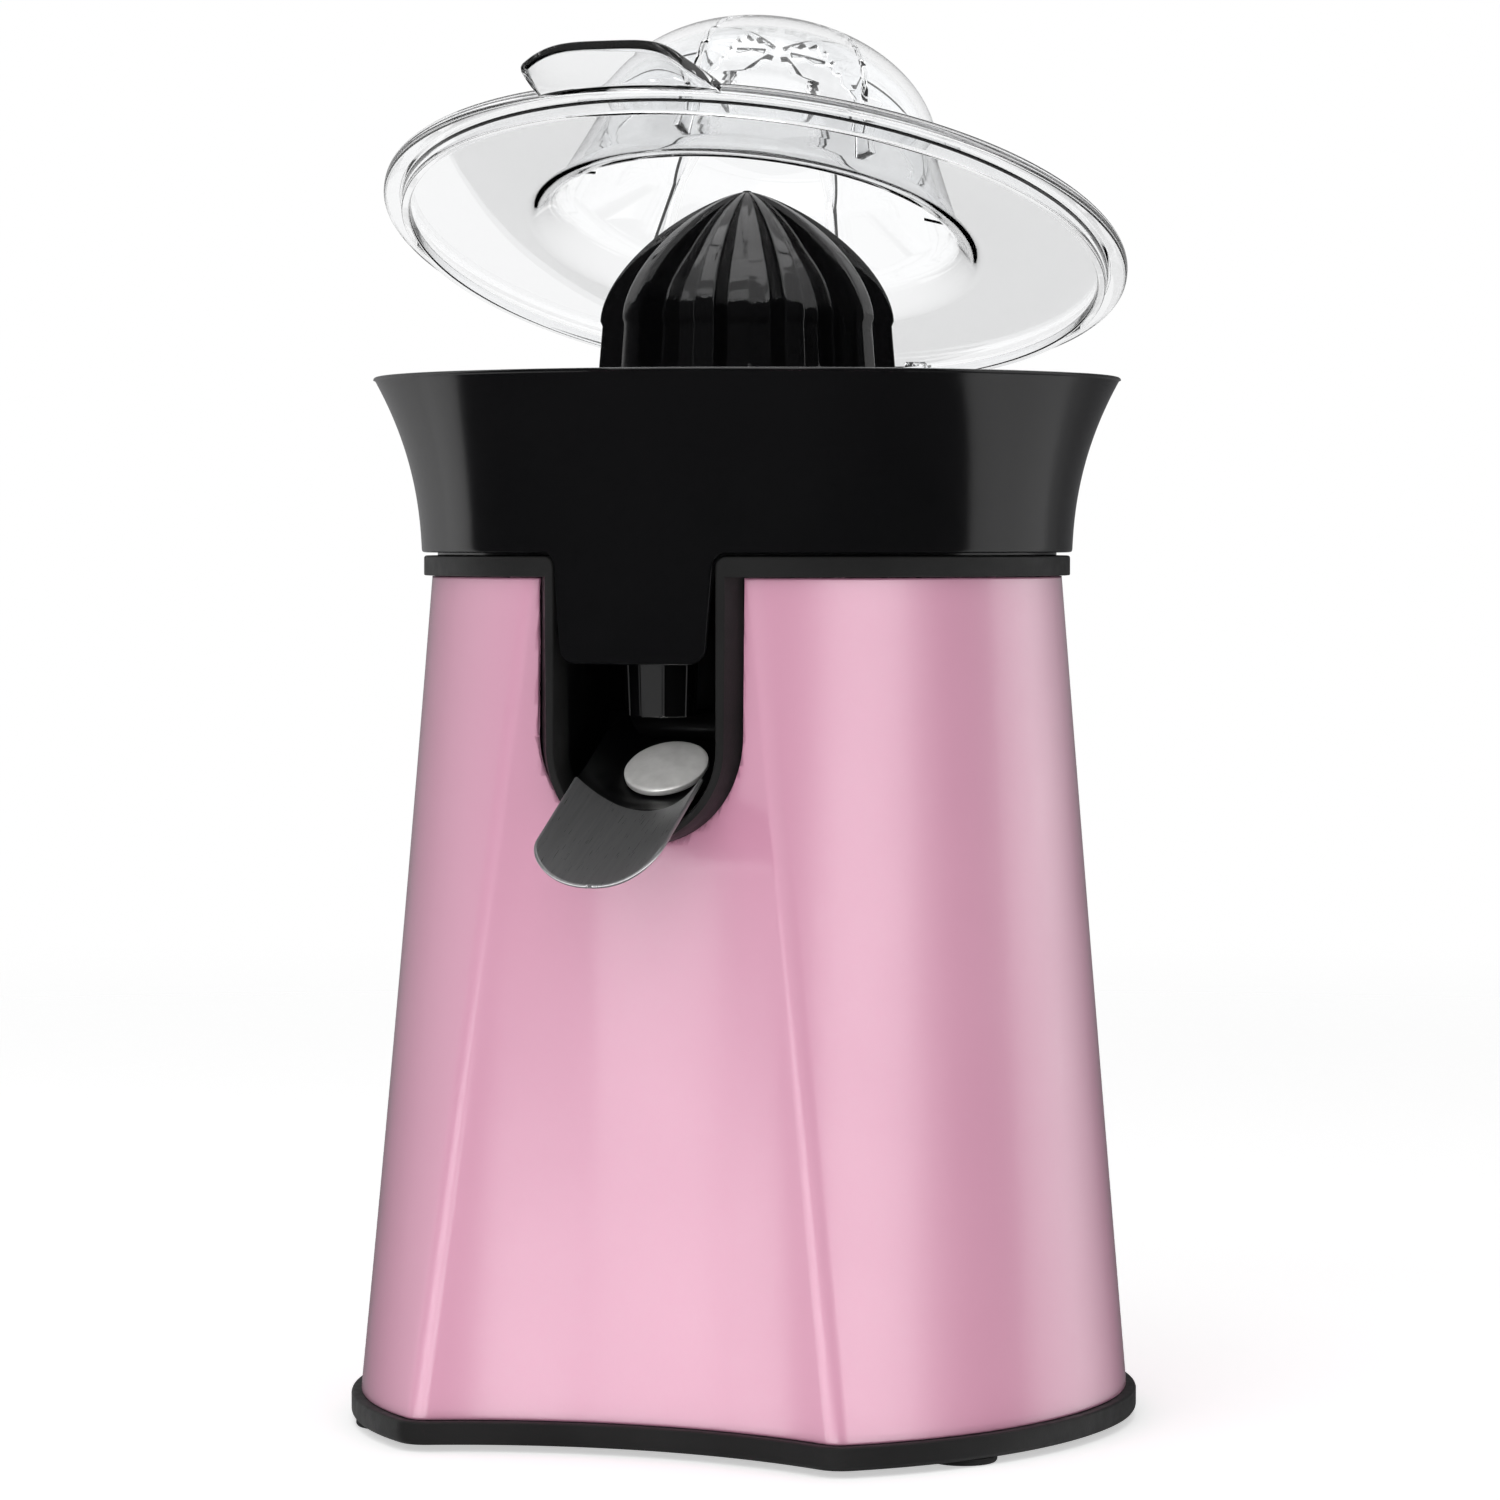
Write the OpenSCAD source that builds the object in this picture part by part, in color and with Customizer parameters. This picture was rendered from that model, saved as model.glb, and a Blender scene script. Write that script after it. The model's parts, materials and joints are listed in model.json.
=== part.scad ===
// Electric citrus press juicer. Millimetres, +Z up, front (spout) towards -Y.
// Origin on the spindle axis, at the surface the rubber feet stand on.

/* [Housing] */
// Half width of the painted shell at its foot
shell_foot_a = 87; // [84:0.5:90]
// Front half depth of the painted shell at its foot
shell_foot_b = 95.6; // [92:0.5:98]
// Radius of the painted shell at its top edge
shell_top_r = 71.8; // [71:0.1:72.4]
// Thickness of the painted shell
shell_t = 1.2; // [0.8:0.1:1.6]
// How far the base band stands proud of the shell
band_proud = 2.2; // [1.5:0.1:3]
// Height of the black base band
band_h = 5.2; // [4.5:0.1:6]
// Half distance between the two front creases at the foot
crease_foot_x = 49; // [44:0.5:54]
// Half distance between the two front creases at the top
crease_top_x = 25.8; // [25:0.1:30]
// Hollow of the front panel at the foot
panel_sag_foot = 11; // [6:0.5:13]
// Hollow of the front panel at the top
panel_sag_top = 3.5; // [2:0.5:4]

/* [Bowl] */
// Outer radius of the juice bowl at its rim
bowl_rim_r = 85.2; // [84:0.1:86]
// Outer radius of the juice bowl at its lower edge
bowl_low_r = 74.2; // [73.8:0.1:74.5]
// Wall thickness of the juice bowl
bowl_t = 2.5; // [2:0.1:3]
// Number of radial juice slots in each ring of the strainer
strainer_slots = 40; // [24:2:48]

/* [Reamer] */
// Radius over the ribs at the skirt of the reamer
reamer_r = 36; // [34:0.1:36.4]
// Height of the reamer tip above the feet
reamer_tip_z = 279; // [274:1:281]
// Number of long ribs, with as many short ribs between them
reamer_ribs = 10; // [6:1:12]

/* [Lid] */
// Outer radius of the clear lid
lid_r = 85.5; // [85:0.1:86]
// Angle at which the lid stands open at rest
lid_open = 19.6; // [5:0.1:24]
// Height of the lid dome above the rim
dome_h = 50.4; // [44:0.1:52]
// Number of serrated grip ribs inside the dome
grip_ribs = 6; // [3:1:8]

/* [Spout] */
// Slope of the spout lever at rest, below the horizontal
spout_slope = 29.5; // [27:0.5:31]
// Half width of the steel spout
spout_half_w = 14.5; // [12:0.5:15]
// Thickness of the steel spout
spout_t = 0.8; // [0.6:0.1:1]

/* [Drive] */
// Gear module
gear_m = 1.25;
// Teeth on the motor pinion
motor_teeth = 12;
// Teeth on the large wheel of the idler
idler_teeth = 36;
// Teeth on the small wheel of the idler
idler_small_teeth = 12;
// Teeth on the output gear
output_teeth = 40;
// Play between meshing teeth
gear_play = 0.3;
// Radius of the drive spindle
spindle_r = 4.5; // [4.3:0.1:4.5]
// Radial running clearance of pins and shafts
run = 0.05; // [0.04:0.01:0.08]

/* [Hidden] */
$fn = 96;

foot_h = 1.5;
band_top = foot_h + band_h;          // the shell stands on this ledge
shell_top = 191.7;
collar_r = 73.7;
collar_top = 196.2;
bowl_bot = 196.9;
bowl_top = 236.6;

// lid hinge, behind the bowl rim
hinge_y = 88.5;
hinge_z = 238.9;

// spout lever pivot inside the spout bay
piv_y = -36;
piv_z = 158.5;

// drive train
motor_y = 30;
gap_a = gear_m*(motor_teeth + idler_teeth)/2;
gap_b = gear_m*(idler_small_teeth + output_teeth)/2;
idler_y = (gap_b*gap_b - gap_a*gap_a + motor_y*motor_y)/(2*motor_y);
idler_x = sqrt(gap_b*gap_b - idler_y*idler_y);
ang_b = atan2(idler_y, idler_x);                 // output axis towards idler axis
ang_a = atan2(motor_y - idler_y, -idler_x);      // idler axis towards motor axis

// ---------- outline of the creased housing ----------

// unit normal of a closed outline at point i, pointing outwards (outline runs anticlockwise)
function nrm(p, i) = let (n = len(p), a = p[(i + n - 1) % n], b = p[(i + 1) % n], d = b - a)
    [d[1], -d[0]]/norm(d);
function inset(p, t) = [for (i = [0:len(p) - 1]) p[i] - t*nrm(p, i)];

// quadratic blend that rounds the corner c between points a and b
function blend3(a, c, b, n) = [for (k = [0:n]) let (s = k/n) (1 - s)*(1 - s)*a + 2*s*(1 - s)*c + s*s*b];

// a: half width, b: front half depth, r: rear radius, xc: crease, sag: hollow of the front panel
function side_pt(a, b, r, t) = [a*cos(t), (t < 0 || t > 180) ? b*sin(t) : r*sin(t)];
function panel_pt(xc, yc, sag, s) = let (R = (xc*xc + sag*sag)/(2*sag), g = asin(xc/R), w = g*s)
    [R*sin(w), yc + sag - (R - R*cos(w))];
function housing_outline(a, b, r, xc, sag) = let (
        tc = -acos(xc/a), yc = b*sin(tc), n = 58,
        side = [for (i = [0:n]) let (t = tc + 3.2 + (180 - 2*tc - 6.4)*i/n) side_pt(a, b, r, t)],
        pan = [for (i = [-6:6]) panel_pt(xc, yc, sag, i/6*0.9)],
        cr = [xc, yc], cl = [-xc, yc],
        right = blend3(pan[12], cr, side[0], 5), left = blend3(side[n], cl, pan[0], 5))
    concat([for (i = [1:n - 1]) side[i]], left, [for (i = [1:11]) pan[i]], right);

function ring_outline(z, grow) = let (
        s = (z - band_top)/(shell_top - band_top),
        lo = housing_outline(shell_foot_a, shell_foot_b, shell_foot_a, crease_foot_x, panel_sag_foot),
        hi = housing_outline(shell_top_r, shell_top_r, shell_top_r, crease_top_x, panel_sag_top),
        m = [for (i = [0:len(lo) - 1]) lo[i] + s*(hi[i] - lo[i])])
    inset(m, -grow);

function up(p, z) = [for (q = p) [q[0], q[1], z]];

// closed skin between an outer and an inner outline, from z0 to z1
module skin(o0, o1, i0, i1, z0, z1) {
    n = len(o0);
    pts = concat(up(o0, z0), up(o1, z1), up(i1, z1), up(i0, z0));
    function q(a, b) = [for (i = [0:n - 1]) let (j = (i + 1) % n)
        each [[a*n + i, b*n + i, b*n + j], [a*n + i, b*n + j, a*n + j]]];
    polyhedron(pts, concat(q(0, 1), q(1, 2), q(2, 3), q(3, 0)), convexity = 8);
}

// ---------- U-shaped opening of the spout bay ----------
bay_half = 18.9;
bay_cz = 154.5;
frame_half = 23.9;
frame_cz = 157.4;
strip_w = 2.1;

module u_face(half, cz, top) {
    translate([-half, cz]) square([2*half, top - cz]);
    translate([0, cz]) circle(half);
}
// extrudes a front view (X, Z) from y0 back to y1
module along_y(y0, y1) {
    translate([0, y1, 0]) rotate([90, 0, 0]) linear_extrude(y1 - y0, convexity = 8) children();
}

// point k of the U path, from the top left down and round to the top right
function u_pt(half, cz, top, k, n) = let (m = 4)
    k < m ? [-half, top + (cz - top)*k/m] :
    k > n - m ? [half, top + (cz - top)*(n - k)/m] :
    let (t = 180 + 180*(k - m)/(n - 2*m)) [half*cos(t), cz + half*sin(t)];
function face_y(x) = -sqrt((collar_r - 0.15)*(collar_r - 0.15) - x*x);

module u_frame() {
    n = 44;
    top = shell_top + 1;
    sec = [for (k = [0:n]) let (
            a = u_pt(bay_half, bay_cz, top, k, n),
            c = u_pt(frame_half, frame_cz, top, k, n),
            dir = (c - a)/norm(c - a),
            b = a + strip_w*dir)
        [[a[0], face_y(a[0]), a[1]], [b[0], face_y(b[0]), b[1]],
         [c[0], face_y(b[0]) + 5.3, c[1]], [c[0], -62, c[1]], [a[0], -62, a[1]]]];
    pts = [for (s = sec) each s];
    side = [for (k = [0:n - 1]) for (j = [0:4]) let (p = k*5 + j, q = k*5 + (j + 1) % 5)
        each [[p, p + 5, q + 5], [p, q + 5, q]]];
    polyhedron(pts, concat(side, [[0, 1, 2, 3, 4]], [[n*5 + 4, n*5 + 3, n*5 + 2, n*5 + 1, n*5]]),
               convexity = 6);
}

// ---------- gears ----------
function inv(a) = tan(a)*180/PI - a;
function flank(m, z, r) = let (rp = m*z/2, rb = rp*cos(20), al = r > rb ? acos(rb/r) : 0)
    90/z - gear_play/(4*rp)*180/PI + inv(20) - inv(al);
function gear_pts(m, z) = let (rp = m*z/2, rb = rp*cos(20), ra = rp + 0.8*m, rf = rp - 1.25*m,
        rs = [rf, max(rb, rf + 0.01), (max(rb, rf) + rp)/2 + 0.1*m, rp + 0.35*m, ra])
    [for (i = [0:z - 1]) let (c = 360*i/z)
        each concat([for (r = rs) let (f = flank(m, z, r)) [r*cos(c - f), r*sin(c - f)]],
                    [for (k = [4:-1:0]) let (r = rs[k], f = flank(m, z, r)) [r*cos(c + f), r*sin(c + f)]])];
module gear(m, z, h) { linear_extrude(h, convexity = 10) polygon(gear_pts(m, z)); }

module tube(r1, r2, z0, z1) {
    translate([0, 0, z0]) difference() {
        cylinder(r = r2, h = z1 - z0);
        translate([0, 0, -1]) cylinder(r = r1, h = z1 - z0 + 2);
    }
}

module pan_screw(r, len, head_r, head_h) {
    // head on top at z = 0 .. head_h, shank below
    difference() {
        union() { cylinder(r = head_r, h = head_h); translate([0, 0, -len]) cylinder(r = r, h = len + 0.1); }
        for (a = [0, 90]) rotate(a) translate([-head_r*0.6, -0.45, head_h - 1]) cube([head_r*1.2, 0.9, 2]);
    }
}

foot_xy = [[68, -49], [-68, -49], [58, 56], [-58, 56]];
tie_xy = [[54, -24], [-54, -24], [56, 28], [-56, 28]];
pillar_xy = [[33, -12], [-22, -12.5], [47, 17], [-33, 32]];
motor_hole = [[27, 22], [-12, 22.5], [27, -22], [-12, -22.5]];
box_hole = [[-33, -13], [47, -13], [47, 47], [-33, 47]];

// closed slab between two grids of points with the same rows and columns; a is the upper face
module slab(a, b) {
    nr = len(a); nc = len(a[0]); m = nr*nc;
    function g(i, j) = i*nc + j;
    pts = concat([for (r = a) each r], [for (r = b) each r]);
    top = [for (i = [0:nr - 2]) for (j = [0:nc - 2])
        each [[g(i, j), g(i, j + 1), g(i + 1, j + 1)], [g(i, j), g(i + 1, j + 1), g(i + 1, j)]]];
    bot = [for (f = top) [m + f[2], m + f[1], m + f[0]]];
    edge = concat([for (j = [0:nc - 2]) [g(0, j), g(0, j + 1)]],
                  [for (i = [0:nr - 2]) [g(i, nc - 1), g(i + 1, nc - 1)]],
                  [for (j = [nc - 1:-1:1]) [g(nr - 1, j), g(nr - 1, j - 1)]],
                  [for (i = [nr - 1:-1:1]) [g(i, 0), g(i - 1, 0)]]);
    side = [for (e = edge) each [[e[1], e[0], m + e[0]], [e[1], m + e[0], m + e[1]]]];
    polyhedron(pts, concat(top, bot, side), convexity = 8);
}

// ---------- housing ----------
module base_tray() {
    color([0.09, 0.09, 0.1]) {
        o = ring_outline(band_top, band_proud);
        difference() {
            union() {
                difference() {
                    translate([0, 0, foot_h]) linear_extrude(band_h, convexity = 6) polygon(o);
                    translate([0, 0, foot_h + 2.5]) linear_extrude(band_h, convexity = 6) polygon(inset(o, 5.5));
                }
                translate([0, 0, band_top - 0.5]) linear_extrude(4.5, convexity = 6) difference() {
                    polygon(inset(o, 3.8));
                    polygon(inset(o, 5.5));
                }
                for (p = tie_xy) translate([p[0], p[1], foot_h + 1]) cylinder(r = 5, h = 11.5);
            }
            for (p = foot_xy) translate([p[0], p[1], 0]) { cylinder(r = 2.5, h = 8); translate([0, 0, 4]) cylinder(r = 4.4, h = 2.6); }
            for (p = tie_xy) translate([p[0], p[1], 0]) { cylinder(r = 2, h = 20); cylinder(r = 4, h = 2.6); }
            for (i = [-4:4]) translate([i*7 - 1.5, 12, 0]) cube([3, 36, 8]);
        }
    }
}

module rubber_feet() {
    color([0.13, 0.13, 0.13]) for (p = foot_xy) translate([p[0], p[1], 0]) rotate_extrude()
        polygon([[0, 0], [7, 0], [7.5, 0.5], [7.5, 1.5], [2.5, 1.5], [2.5, 4], [4, 4], [3, 6], [0, 6]]);
}

module tie_screws() {
    color([0.7, 0.7, 0.72]) for (p = tie_xy) translate([p[0], p[1], 0]) difference() {
        union() {
            translate([0, 0, 1.5]) cylinder(r = 3.6, h = 1.1);
            translate([0, 0, 2.5]) cylinder(r = 2, h = 185.5);
        }
        for (a = [0, 90]) rotate(a) translate([-2.2, -0.45, 1]) cube([4.4, 0.9, 1.2]);
    }
}

// The lacquered shell is one drawn sheet; it is held here as four panels that meet face to face.
module shell_sheet() {
    difference() {
        skin(ring_outline(band_top, 0), ring_outline(shell_top, 0),
             ring_outline(band_top, -shell_t), ring_outline(shell_top, -shell_t), band_top, shell_top);
        along_y(-100, -40) u_face(frame_half + 0.05, frame_cz, 200);
        translate([0, 95, 24]) rotate([90, 0, 0]) cylinder(r = 6, h = 30);
    }
}

module shell_panel(x0, x1, y0, y1) {
    color([0.92, 0.68, 0.79]) intersection() {
        shell_sheet();
        translate([x0, y0, 0]) cube([x1 - x0, y1 - y0, 220]);
    }
}

module housing_front() { shell_panel(-150, 150, -150, -40); }

module housing_rear() { shell_panel(-150, 150, 40, 150); }

module housing_left() { shell_panel(-150, 0, -40, 40); }

module housing_right() { shell_panel(0, 150, -40, 40); }

module top_deck() {
    color([0.08, 0.08, 0.09]) {
        difference() {
            union() {
                tube(9.5, collar_r, shell_top, 194.2);
                tube(71.2, collar_r, 193, collar_top);
                difference() {
                    tube(66, 69.2, 186.7, shell_top + 0.2);
                    translate([-30, -80, 180]) cube([60, 40, 20]);
                }
                for (p = tie_xy) translate([p[0], p[1], 176]) cylinder(r = 5, h = 16);
                for (p = pillar_xy) translate([p[0], p[1], 184]) cylinder(r = 5, h = 8);
                tube(8, 11, 176, 217);
            }
            translate([-bay_half, -90, 180]) cube([2*bay_half, 90 - 30, 30]);
            for (p = tie_xy) translate([p[0], p[1], 170]) cylinder(r = 2, h = 18);
            for (p = pillar_xy) translate([p[0], p[1], 180]) cylinder(r = 1.5, h = 9);
            translate([0, 0, 214]) cylinder(r = 9.2, h = 5);
        }
        u_frame();
    }
}

module spout_bay() {
    color([0.07, 0.07, 0.08]) difference() {
        union() {
            along_y(-62, -26) u_face(bay_half + 1.8, bay_cz, shell_top);
            for (s = [-1, 1]) translate([s*(bay_half + 2) - 2, piv_y - 5, piv_z - 5]) cube([4, 10, 10]);
        }
        along_y(-63, -28) u_face(bay_half, bay_cz, shell_top + 1);
        translate([-30, piv_y, piv_z]) rotate([0, 90, 0]) cylinder(r = 2, h = 60);
    }
}

module cord_grommet() {
    color([0.15, 0.15, 0.15]) translate([0, 85.6, 24]) rotate([90, 0, 0]) rotate_extrude()
        polygon([[3.6, -3], [7, -3], [8, -1.8], [8, -0.9], [5.95, -0.9], [5.95, 2.3], [8, 2.3], [8, 4], [3.6, 4]]);
}

// ---------- motor, hung from the gearbox plate ----------
module motor_stator() {
    color([0.5, 0.51, 0.53]) translate([0, motor_y, 26]) difference() {
        translate([-32, -26, 0]) cube([64, 52, 30]);
        translate([0, 0, -1]) cylinder(r = 16.5, h = 32);
        translate([-27, -21, -1]) cube([9, 42, 32]);
        for (a = [45, 225]) rotate(a) translate([17.5, -1.2, -1]) cube([3, 2.4, 32]);
        for (p = motor_hole) translate([p[0], p[1], -1]) cylinder(r = 1.6, h = 32);
    }
}

module motor_coil() {
    color([0.75, 0.42, 0.2]) translate([-29.5, motor_y, 41]) difference() {
        translate([-8.6, -18, -21]) cube([19.5, 36, 42]);
        translate([-2.5, -30, -15]) cube([5, 60, 30]);
    }
}

module motor_brackets() {
    color([0.62, 0.63, 0.65]) translate([0, motor_y, 0]) for (u = [0, 1]) {
        z = u == 0 ? 20 : 58;
        difference() {
            union() {
                translate([-17, -26, z]) cube([49, 52, 2.5]);
                translate([0, 0, u == 0 ? 14 : 60]) cylinder(r = 8, h = u == 0 ? 6.5 : 5);
                for (p = motor_hole) translate([p[0], p[1], u == 0 ? 22 : 56]) cylinder(r = 3.4, h = u == 0 ? 4 : 14);
            }
            translate([0, 0, 5]) cylinder(r = 3 + run, h = 70);
            for (p = motor_hole) translate([p[0], p[1], 10]) cylinder(r = 1.6, h = 70);
            for (a = [45:90:315]) rotate(a) translate([12.5, 0, z - 1]) cylinder(r = 2.2, h = 5);
        }
    }
}

module motor_screws() {
    color([0.7, 0.7, 0.72]) for (p = motor_hole) translate([p[0], p[1] + motor_y, 0]) difference() {
        union() {
            translate([0, 0, 17.8]) cylinder(r = 3, h = 2.2);
            translate([0, 0, 19.5]) cylinder(r = 1.6, h = 53.5);
        }
        for (a = [0, 90]) rotate(a) translate([-1.8, -0.4, 17]) cube([3.6, 0.8, 1.6]);
    }
}

module motor_rotor() {
    color([0.45, 0.46, 0.48]) translate([0, motor_y, 0]) {
        difference() {
            union() {
                translate([0, 0, 25]) cylinder(r = 16.1, h = 32);
                translate([0, 0, 8]) cylinder(r = 3, h = 79);
            }
            for (k = [0:15]) rotate(22.5*k) translate([13.6, 0, 24.9]) cylinder(r = 0.9, h = 1.2);
        }
    }
}

module motor_pinion() {
    color([0.83, 0.7, 0.35]) translate([0, motor_y, 76]) difference() {
        rotate(ang_a + 180 + 180/motor_teeth) gear(gear_m, motor_teeth, 10);
        translate([0, 0, -1]) cylinder(r = 3, h = 12);
    }
}

module cooling_fan() {
    color([0.2, 0.2, 0.22]) translate([0, motor_y, 0]) difference() {
        union() {
            translate([0, 0, 8.4]) cylinder(r = 7, h = 4.6);
            translate([0, 0, 12]) tube(6.5, 24, 0, 1);
            for (k = [0:9]) rotate(36*k) translate([6.5, -0.6, 8.6]) rotate([0, 0, 8]) cube([17, 1.2, 4]);
        }
        cylinder(r = 3, h = 20);
    }
}

// ---------- gearbox ----------
module plate_outline() {
    difference() {
        translate([-38, -18]) square([90, 70]);
        for (c = [[-38, -18, 0], [52, -18, 90], [52, 52, 180], [-38, 52, 270]])
            translate([c[0], c[1]]) rotate(c[2]) difference() { translate([-1, -1]) square(6); translate([5, 5]) circle(5); }
    }
}

module gearbox_plate() {
    color([0.55, 0.56, 0.58]) {
        difference() {
            union() {
                translate([0, 0, 70]) linear_extrude(3, convexity = 6) plate_outline();
                for (p = box_hole) translate([p[0], p[1], 72.5]) cylinder(r = 4, h = 30.5);
                tube(6.8, 8.6, 72.5, 88);
            }
            translate([0, motor_y, 60]) cylinder(r = 7, h = 20);
            translate([idler_x, idler_y, 60]) cylinder(r = 2.5, h = 20);
            for (p = motor_hole) translate([p[0], p[1] + motor_y, 60]) cylinder(r = 1.6, h = 20);
            for (p = box_hole) translate([p[0], p[1], 80]) cylinder(r = 1.5, h = 30);
            translate([-12, -2.4, 79]) cube([12, 4.8, 12]);
            translate([-20, 6, 60]) cylinder(r = 3, h = 20);
        }
    }
}

module gearbox_cover() {
    color([0.55, 0.56, 0.58]) difference() {
        union() {
            translate([0, 0, 103]) linear_extrude(3, convexity = 6) plate_outline();
            translate([0, 0, 103]) cylinder(r = 13, h = 9);
        }
        translate([0, 0, 100]) cylinder(r = 10, h = 20);
        translate([idler_x, idler_y, 100]) cylinder(r = 2.5, h = 20);
        for (p = box_hole) translate([p[0], p[1], 100]) cylinder(r = 1.6, h = 20);
        for (p = pillar_xy) translate([p[0], p[1], 100]) cylinder(r = 1.5, h = 20);
    }
}

module gearbox_screws() {
    color([0.7, 0.7, 0.72]) for (p = box_hole) translate([p[0], p[1], 106]) difference() {
        union() { cylinder(r = 2.9, h = 1.8); translate([0, 0, -20]) cylinder(r = 1.5, h = 20.1); }
        for (a = [0, 90]) rotate(a) translate([-1.8, -0.4, 1]) cube([3.6, 0.8, 2]);
    }
}

module deck_pillars() {
    color([0.6, 0.6, 0.62]) for (p = pillar_xy) translate([p[0], p[1], 0]) {
        translate([0, 0, 106]) cylinder(r = 4.5, h = 78);
        translate([0, 0, 103]) cylinder(r = 1.5, h = 86);
    }
}

module idler_axle() {
    color([0.75, 0.75, 0.77]) translate([idler_x, idler_y, 70]) cylinder(r = 2.5, h = 36);
}

module idler_gear() {
    color([0.9, 0.9, 0.86]) translate([idler_x, idler_y, 0]) difference() {
        union() {
            translate([0, 0, 77]) rotate(ang_a) gear(gear_m, idler_teeth, 6);
            translate([0, 0, 82.5]) rotate(ang_b + 180 + 180/idler_small_teeth) gear(gear_m, idler_small_teeth, 18);
            translate([0, 0, 74]) cylinder(r = 5, h = 3.5);
        }
        translate([0, 0, 70]) cylinder(r = 2.5 + run, h = 40);
        for (k = [0:4]) rotate(72*k) translate([14.5, 0, 76]) cylinder(r = 4, h = 8);
    }
}

module output_gear() {
    color([0.9, 0.9, 0.86]) difference() {
        union() {
            translate([0, 0, 90]) rotate(ang_b) gear(gear_m, output_teeth, 8);
            translate([0, 0, 88.3]) cylinder(r = 8.4, h = 12);
            translate([0, 0, 97]) cylinder(r = 7, h = 13);
        }
        translate([0, 0, 80]) cylinder(r = 8.1/sqrt(3), h = 40, $fn = 6);
        for (k = [0:5]) rotate(60*k + 30) translate([15.5, 0, 88]) cylinder(r = 4.2, h = 12);
    }
}

module lower_bush() { color([0.72, 0.55, 0.3]) tube(7 + run, 10, 103, 112); }
module upper_bush() { color([0.72, 0.55, 0.3]) tube(spindle_r + run, 8, 192, 214); }
module spindle_seal() {
    color([0.12, 0.12, 0.12]) rotate_extrude()
        polygon([[spindle_r + 0.1, 214.8], [spindle_r + 0.8, 214], [9.2, 214], [9.2, 217], [7, 217], [6.4, 215.4], [spindle_r + 0.8, 217], [spindle_r + 0.1, 216.4]]);
}

// compression spring under the thrust pad
module return_spring() {
    turns = 4; seg = 14; n = turns*seg; rr = 4.6; wire = 0.6; z0 = 73.7; rise = 9;
    function c(k) = let (a = 360*k/seg) [rr*cos(a), rr*sin(a), z0 + rise*k/n];
    pts = [for (k = [0:n]) let (a = 360*k/seg, p = c(k)) for (j = [0:7])
        p + wire*cos(45*j)*[cos(a), sin(a), 0] + wire*sin(45*j)*[0, 0, 1]];
    side = [for (k = [0:n - 1]) for (j = [0:7]) let (p = k*8 + j, q = k*8 + (j + 1) % 8)
        each [[p, p + 8, q + 8], [p, q + 8, q]]];
    color([0.75, 0.76, 0.78])
        polyhedron(pts, concat(side, [[for (j = [0:7]) j]], [[for (j = [7:-1:0]) n*8 + j]]), convexity = 10);
}

module thrust_pad() {
    color([0.85, 0.85, 0.82]) {
        translate([0, 0, 83.5]) cylinder(r = 6.7, h = 2.7);
        translate([-20.5, -2, 83.5]) cube([15, 4, 2.2]);
    }
}

module switch_body() {
    color([0.16, 0.16, 0.17]) difference() {
        translate([-34, -5, 73]) cube([20, 10, 7.5]);
        translate([-18, 0, 76.5]) cylinder(r = 1.3, h = 6);
        for (x = [-31, -22]) translate([x, -10, 76]) rotate([-90, 0, 0]) cylinder(r = 1.1, h = 20);
    }
}
module switch_plunger() {
    color([0.8, 0.25, 0.2]) translate([-18, 0, 0]) {
        translate([0, 0, 78]) cylinder(r = 1.2, h = 3.95);
    }
}

module drive_spindle() {
    color([0.78, 0.79, 0.8]) {
        translate([0, 0, 86.3]) cylinder(r = 7.8/sqrt(3), h = 27, $fn = 6);
        translate([0, 0, 113]) cylinder(r = spindle_r, h = 106);
        translate([0, 0, 218.9]) cylinder(r = 7.8/sqrt(3), h = 26.6, $fn = 6);
    }
}

// ---------- reamer ----------
function env_r(z) = z < 249.5 ? reamer_r - (z - 213)*3.1/36.5
    : let (s = (z - 249.5)/(reamer_tip_z - 249.5)) (reamer_r - 3.1)*pow(max(1 - pow(s, 1.7), 0), 0.75) + 0.6;
function rib_d(z) = min(7, 0.28*env_r(z));
function short_d(z) = z < 216 ? 5 : z > 240 ? 0 : 5*(1 - pow((z - 216)/24, 2));
rib_step = 360/reamer_ribs;
rib_u = [0, 0.115, 0.19, 0.3, 0.4, 0.5, 0.6, 0.7, 0.81, 0.885];
function rib_r(u, z) = let (d = min(u, 1 - u), e = abs(u - 0.5),
        main = max(0, min(1, (0.19 - d)/0.075)), short = max(0, 1 - e/0.1))
    env_r(z) - rib_d(z) + rib_d(z)*main + short_d(z)*short;
function rib_ring(z) = [for (k = [0:reamer_ribs - 1]) for (u = rib_u)
    let (a = -87 + rib_step*(k + u), r = rib_r(u, z)) [r*cos(a), r*sin(a), z]];
function circle_ring(r, z) = [for (k = [0:reamer_ribs - 1]) for (u = rib_u)
    let (a = -87 + rib_step*(k + u)) [r*cos(a), r*sin(a), z]];

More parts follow.
